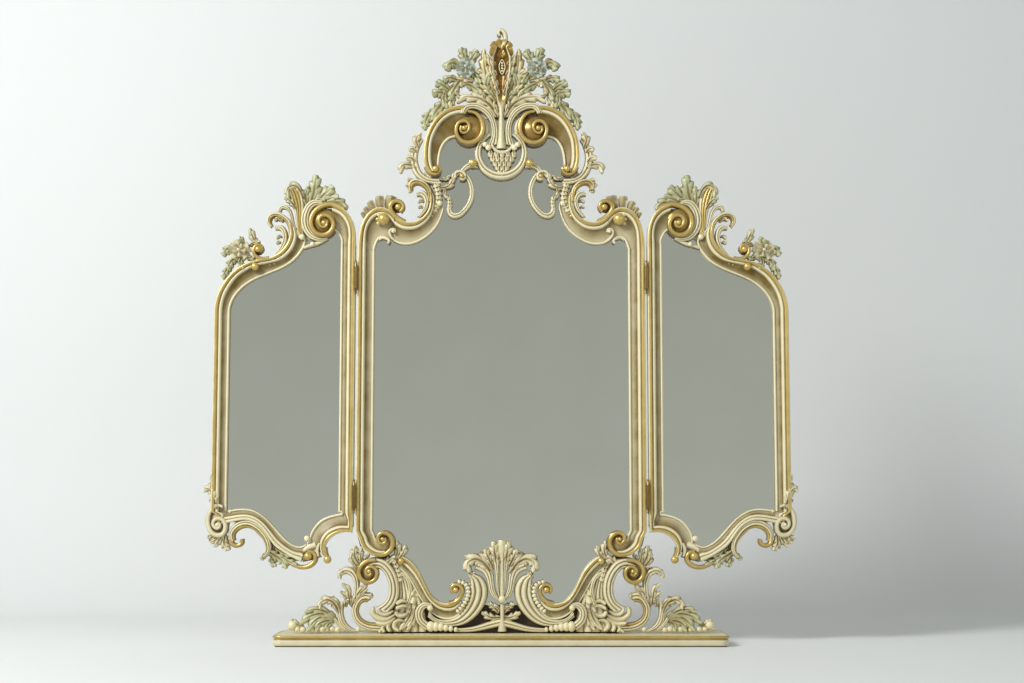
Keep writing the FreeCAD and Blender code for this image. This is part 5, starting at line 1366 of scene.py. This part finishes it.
def wing_bottom_rail():
    """The rail under a wing's glass: two C-scrolls that meet over a leaf, and the corner's volute."""
    lip = [
        (222, 524), (231, 522.5), (239, 520.7), (247.5, 520), (256, 522.5), (264, 529), (270, 537.5),
        (276, 545.5), (284, 551.5), (293, 557), (302, 561.5),
    ]
    sight = [
        (229, 510.5), (237, 509), (246, 508.7), (255, 510.8), (263.5, 516), (272, 524), (280.5, 533.5),
        (288, 541), (295, 545.3), (301, 546.3), (307, 543.5),
    ]
    left_out = [
        (232, 542), (229.3, 535), (231.3, 528), (237.5, 522), (246.5, 519.3), (256, 521.8), (264.8, 529),
        (270.3, 537.5), (272.6, 546), (270.8, 553.3), (266, 558),
    ]
    left_in = [
        (236.8, 540), (236, 536), (238, 532), (242.5, 529), (248.5, 528), (255.5, 530.5), (261.5, 536),
        (265, 542), (266.5, 547.5), (266, 551.5), (263, 555.5),
    ]
    left_end = [(231.5, 539), (233.8, 544), (238.8, 545.3), (242.8, 542.6), (242.8, 538.8)]
    right_lip = [
        (352.3, 532.6), (344, 532.3), (337, 534.3), (331, 538.3), (327, 544), (325.8, 551), (327.5, 558),
    ]
    right_sight = [
        (341.5, 513.3), (336, 514.3), (328, 516.5), (320.5, 520.5), (314.5, 527), (310.8, 534),
        (309.5, 542),
    ]
    fill_out = [(304, 546), (309.5, 541), (314, 540)]
    fill_in = [(303, 562), (312, 560), (322, 557)]
    bottom_curl = [
        (291, 562.5), (298, 566), (306, 566.8), (313, 563.7), (316.3, 558), (313.8, 552.5),
        (308.5, 551.3),
    ]
    drip = [(320.5, 543), (318.3, 549), (319.5, 556)]
    tail = [(326.3, 547), (326.5, 553), (328.5, 558.5)]
    corner = [
        (224, 506.8), (219.5, 505.3), (212.5, 510), (209.5, 518.5), (210.8, 528), (216.5, 534.5),
        (223.8, 534), (227, 527.5), (225, 520.5), (219, 518.3), (215, 522), (216.5, 527), (220, 528),
        (222, 525), (220.5, 522.6),
    ]
    green = [
        ([(268, 550), (277, 556), (284.5, 562), (286.5, 569)], 13, 4),
        ([(276, 547), (284, 552), (292, 556.5)], 10, 3),
        ([(280, 556), (289, 561), (298, 565)], 10, 3),
        ([(273, 556), (272, 561), (277, 566)], 8, 2),
        ([(268, 553), (264.5, 556), (262.5, 560)], 7, 2),
    ]
    tips = [
        ([(219, 509), (215.5, 499), (214.5, 489)], 13, 3),
        ([(215.5, 501), (213, 492), (208.5, 488.5), (205.5, 492.5)], 9, 2),
        ([(214.5, 493), (213, 486), (214.2, 478)], 8, 2),
        ([(217, 533), (211.5, 538), (209, 535.5)], 8, 2),
        ([(221, 535), (215.5, 541), (211.5, 542)], 8, 2),
        ([(224, 535), (219.5, 542), (215, 546.5)], 8, 2),
        ([(227, 535), (226, 543), (230.5, 550)], 11, 3),
        ([(214.5, 484), (213, 478), (214, 473)], 5, 0),
    ]
    foot_lip = [(216.5, 514), (219, 524)]
    foot_sight = [(231.3, 509.5), (231.6, 512)]
    mitre_lip = [(353.5, 522), (352.3, 532.6)]
    mitre_sight = [(342.2, 511), (341.5, 513.3)]
    inner_foot = np.array([INNER_HIGH[0], INNER_LOW[2]])
    sight_foot = np.array([INNER_LOW[0], INNER_LOW[2]])
    outer_foot = np.array([OUTER_LOW[0], OUTER_LOW[2]])
    outer_sight = np.array([OUTER_HIGH[0], OUTER_LOW[2]])
    return [
        moulded(joined(outer_foot, foot_lip, -1), joined(outer_sight, foot_sight, -1)),
        moulded(drawn(lip), drawn(sight), 0.3),
        scroll(left_out, left_in, 3, (0.9, 1.0, 0.9), (0.1, 0.25, 0.95)),
        rim(left_end, (5.0, 5.4, 4.4), (0.9, 0.9), 0.6),
        moulded(joined(inner_foot, mitre_lip, -1), joined(sight_foot, mitre_sight, -1)),
        moulded(drawn(right_lip), drawn(right_sight)),
        scroll(fill_out, fill_in, 2, (0.5, 0.5)),
        rim(bottom_curl, (4.0, 6.0, 4.4), (0.8, 0.95, 0.9)),
        rim(drip, (3.0, 4.0, 2.4), (0.9, 0.9), 0.0),
        rim(tail, (3.6, 4.6, 5.0), (0.95, 0.9)),
        *knobs([((328.3, 559.3), 4.0), ((309, 556), 4.2)], 0.9, 0.85),
        *knobs([((307.8, 538.5), 3.2)], 0.0, 0.6),
        boss((218.8, 521.5), 11.5, 0.6, 0.1),
        rim(corner, (3.6, 6.2, 6.4, 5.0, 3.4), (0.9, 1.05, 1.2), 0.2),
        *knobs([((219.3, 524.6), 2.2)], 0.35, 1.1),
        *leaves(green, rise=0.8, lift=0.15, tint=0.65),
        *leaves(tips, rise=1.0, lift=0.1, gilt=0.15),
    ]


def base_board(material):
    """The low base: a section with a gold bead on its top edge carried round an oblong with round
    corners."""
    turn = np.linspace(-0.5 * np.pi, 0.5 * np.pi, ROUND_POINTS)
    bead_inset = BASE_BEAD - BASE_BEAD * np.cos(turn)
    bead_rise = BASE_TOP - BASE_BEAD + BASE_BEAD * np.sin(turn)
    inset = np.concatenate([BASE_INSETS, bead_inset, [BASE_BEAD + BASE_LEDGE]])
    rise = np.concatenate([BASE_HEIGHTS, bead_rise, [BASE_TOP - BASE_SINK]])
    angle = np.linspace(0.0, 2.0 * np.pi, BASE_ROUND, endpoint=False)
    way = np.stack([np.cos(angle), np.sin(angle)], -1)
    middle = 0.5 * (BOARD_LOW + BOARD_HIGH)
    reach = 0.5 * (BOARD_HIGH - BOARD_LOW)[:2] - BASE_CORNER
    centre = middle[:2] + reach * np.sign(np.round(way, 9) + 1e-6)
    ring = centre[None] + (BASE_CORNER - inset)[:, None, None] * way[None]
    level = np.broadcast_to((BOARD_LOW[2] + rise)[:, None, None], ring.shape[:2] + (1,))
    gilt = np.concatenate([np.zeros(len(BASE_GLAZE_AND_SHADE)), np.ones(ROUND_POINTS), [0.2]])[:, None]
    # Painted shade with the glaze at the foot and under the bead
    glaze_and_shade = np.concatenate([BASE_GLAZE_AND_SHADE, np.full(ROUND_POINTS, 0.2), [0.1]])[:, None]
    coats = [np.broadcast_to(value, ring.shape[:2]) for value in (gilt, glaze_and_shade, 0.0 * gilt)]
    carve("base_board", [(np.concatenate([ring, level], -1), np.stack(coats, -1))], "stand", material)


def carve_all(material):
    """Every carved piece in its place: the pairs left and right, then the pieces of the middle."""
    above = (centre_stile, shoulder_scroll, crest_arch, crest_acanthus, side_leaf, flower_spray)
    below = (ear_scroll, apron_scroll, console_scroll, console_leaves)
    wing = (wing_inner_stile, wing_outer_stile, wing_top_rail, wing_crest, wing_rose, wing_bottom_rail)
    for carving in above + below + wing:
        pair(carving.__name__, carving(), material)
    for carving in (crest_plume, crest_ring, crest_pendant, apron_palmette):
        carve(carving.__name__, carving(), "stand", material)
    base_board(material)


def dress_frame(lacquer):
    """Gives every node of the frame that is shown its material, by the words in its name."""
    # Planed softwood with a dark stain: matt, with the grain upright
    stained = grained("dark_stained_board", "#4A382A", "#2C2018", 0.6, (25.0, 25.0, 125.0))
    # Cast brass gone dull with handling: a soft brown gleam
    brass = grained("aged_brass", "#AE9256", "#705834", 0.35, (16.0, 16.0, 16.0), 1.0)
    # Peeled and pressed veneer left bare: pale, matt, with long upright figure
    plywood = grained("bare_plywood", "#C6A679", "#A9855A", 0.65, (17.0, 17.0, 167.0))
    # Plated steel: a grey gleam with a faint spangle
    zinc = grained("zinc_plated_steel", "#B9BBBD", "#8E9194", 0.35, (11.0, 11.0, 11.0), 1.0)
    # Pressed wool: no gleam, and flecks drawn coarse enough to show
    felt = grained("green_felt", "#3C4A3A", "#29352A", 0.9, (3.3, 3.3, 3.3))
    finishes = [
        (("_glass",), silvered_glass()),
        (("_back_panel",), plywood),
        (("_hinges",), brass),
        (("_clips", "_screws", "_fixings"), zinc),
        (("_post", "apron_board"), stained),
        (("_felt",), felt),
        (("_board",), lacquer),
    ]
    for name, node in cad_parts.items():
        found = [finish for endings, finish in finishes if name.endswith(endings)]
        if found:
            node.data.materials.clear()
            node.data.materials.append(found[0])


# The studio


def pale_sheet(name, colour):
    """A matt pale sheet that is clear from behind, so that the mirror's back can be looked at."""
    material, tree = new_material(name)
    matt = add(tree, "BsdfPrincipled", {"Base Color": linear(colour), "Roughness": 0.8})
    clear = add(tree, "BsdfTransparent")
    behind = add(tree, "NewGeometry").outputs["Backfacing"]
    sheet = add(tree, "MixShader", {"Fac": behind, 1: matt.outputs[0], 2: clear.outputs[0]})
    add(tree, "OutputMaterial", {"Surface": sheet.outputs[0]})
    return material


def stage_sheet(name, rows, material):
    """A sheet of the studio from rows of corners."""
    grid = np.asarray(rows, float)
    count, across = grid.shape[:2]
    index = np.arange(count * across).reshape(count, across)
    corners = [index[:-1, :-1], index[:-1, 1:], index[1:, 1:], index[1:, :-1]]
    quads = np.stack(corners, -1).reshape(-1, 4)
    mesh = bpy.data.meshes.new(name)
    mesh.from_pydata(grid.reshape(-1, 3).tolist(), [], quads.tolist())
    mesh.shade_smooth()
    mesh.materials.append(material)
    made = bpy.data.objects.new(name, mesh)
    bpy.context.scene.collection.objects.link(made)
    return made


def studio_air():
    """Soft light from all round; mirrors and gold see a grey room, a little darker above, and the eye a
    pale one."""
    world = bpy.data.worlds.new("studio")
    world.use_nodes = True
    tree = world.node_tree
    tree.nodes.clear()
    way = add(tree, "TexCoord").outputs["Generated"]
    up = add(tree, "SeparateXYZ", {0: way}).outputs["Z"]
    room = blend(tree, ranged(tree, up, start=-0.1, end=0.3), "#B3B4AD", "#9A9B93")
    mirrored_room = add(tree, "LightPath").outputs["Is Glossy Ray"]
    looked_at = add(tree, "LightPath").outputs["Is Camera Ray"]
    colour = blend(tree, mirrored_room, "#EEF1F0", room)
    colour = blend(tree, looked_at, colour, "#DFE3E2")
    shown = reckon(tree, "MAXIMUM", mirrored_room, looked_at)
    glow = add(tree, "Background", {"Color": colour, "Strength": ranged(tree, shown, (AIR_LIGHT, 1.0))})
    add(tree, "OutputWorld", {"Surface": glow.outputs[0]})
    return world


def add_lamp(name, spot, size, power):
    """A soft square lamp that looks at the mirror."""
    data = bpy.data.lights.new(name, "AREA")
    data.size = size
    data.energy = power
    lamp = bpy.data.objects.new(name, data)
    lamp.location = spot
    aim = LAMP_AIM - np.array(spot)
    tilt = np.arctan2(np.hypot(aim[0], aim[1]), -aim[2])
    lamp.rotation_euler = (tilt, 0.0, np.arctan2(-aim[0], aim[1]))
    bpy.context.scene.collection.objects.link(lamp)


def add_camera():
    """The camera that sees the frames as the picture does."""
    data = bpy.data.cameras.new("camera")
    data.sensor_width = SENSOR_WIDTH
    data.lens = FOCAL_PIXELS * SENSOR_WIDTH / PICTURE_WIDTH
    camera = bpy.data.objects.new("camera", data)
    camera.location = (CAMERA_SIDE * MM, -CAMERA_AWAY * MM, CAMERA_HEIGHT * MM)
    camera.rotation_euler = (np.pi / 2 + CAMERA_PITCH, 0.0, 0.0)
    bpy.context.scene.collection.objects.link(camera)
    bpy.context.scene.camera = camera


def studio():
    """A pale floor that sweeps up to a wall, soft lamps and the camera."""
    sweep = np.linspace(0.0, np.pi / 2, 16)
    y = np.concatenate([[FLOOR_FRONT], SWEEP_START + SWEEP_RADIUS * np.sin(sweep), [WALL_AT]])
    z = np.concatenate([[0.0], SWEEP_RADIUS - SWEEP_RADIUS * np.cos(sweep), [WALL_TOP]])
    edges = [np.stack([np.full_like(y, x), y, z], -1) for x in (-FLOOR_HALF, FLOOR_HALF)]
    floor = stage_sheet("floor", np.stack(edges, 1), pale_sheet("pale_wall", "#E8EBEA"))
    floor.visible_glossy = False
    for lamp in LAMPS:
        add_lamp(*lamp)
    scene = bpy.context.scene
    scene.world = studio_air()
    scene.cycles.max_bounces = MIRROR_BOUNCES
    scene.cycles.glossy_bounces = MIRROR_BOUNCES
    scene.view_settings.view_transform = "Standard"
    add_camera()


lacquer = carved_lacquer()
carve_all(lacquer)
dress_frame(lacquer)
studio()
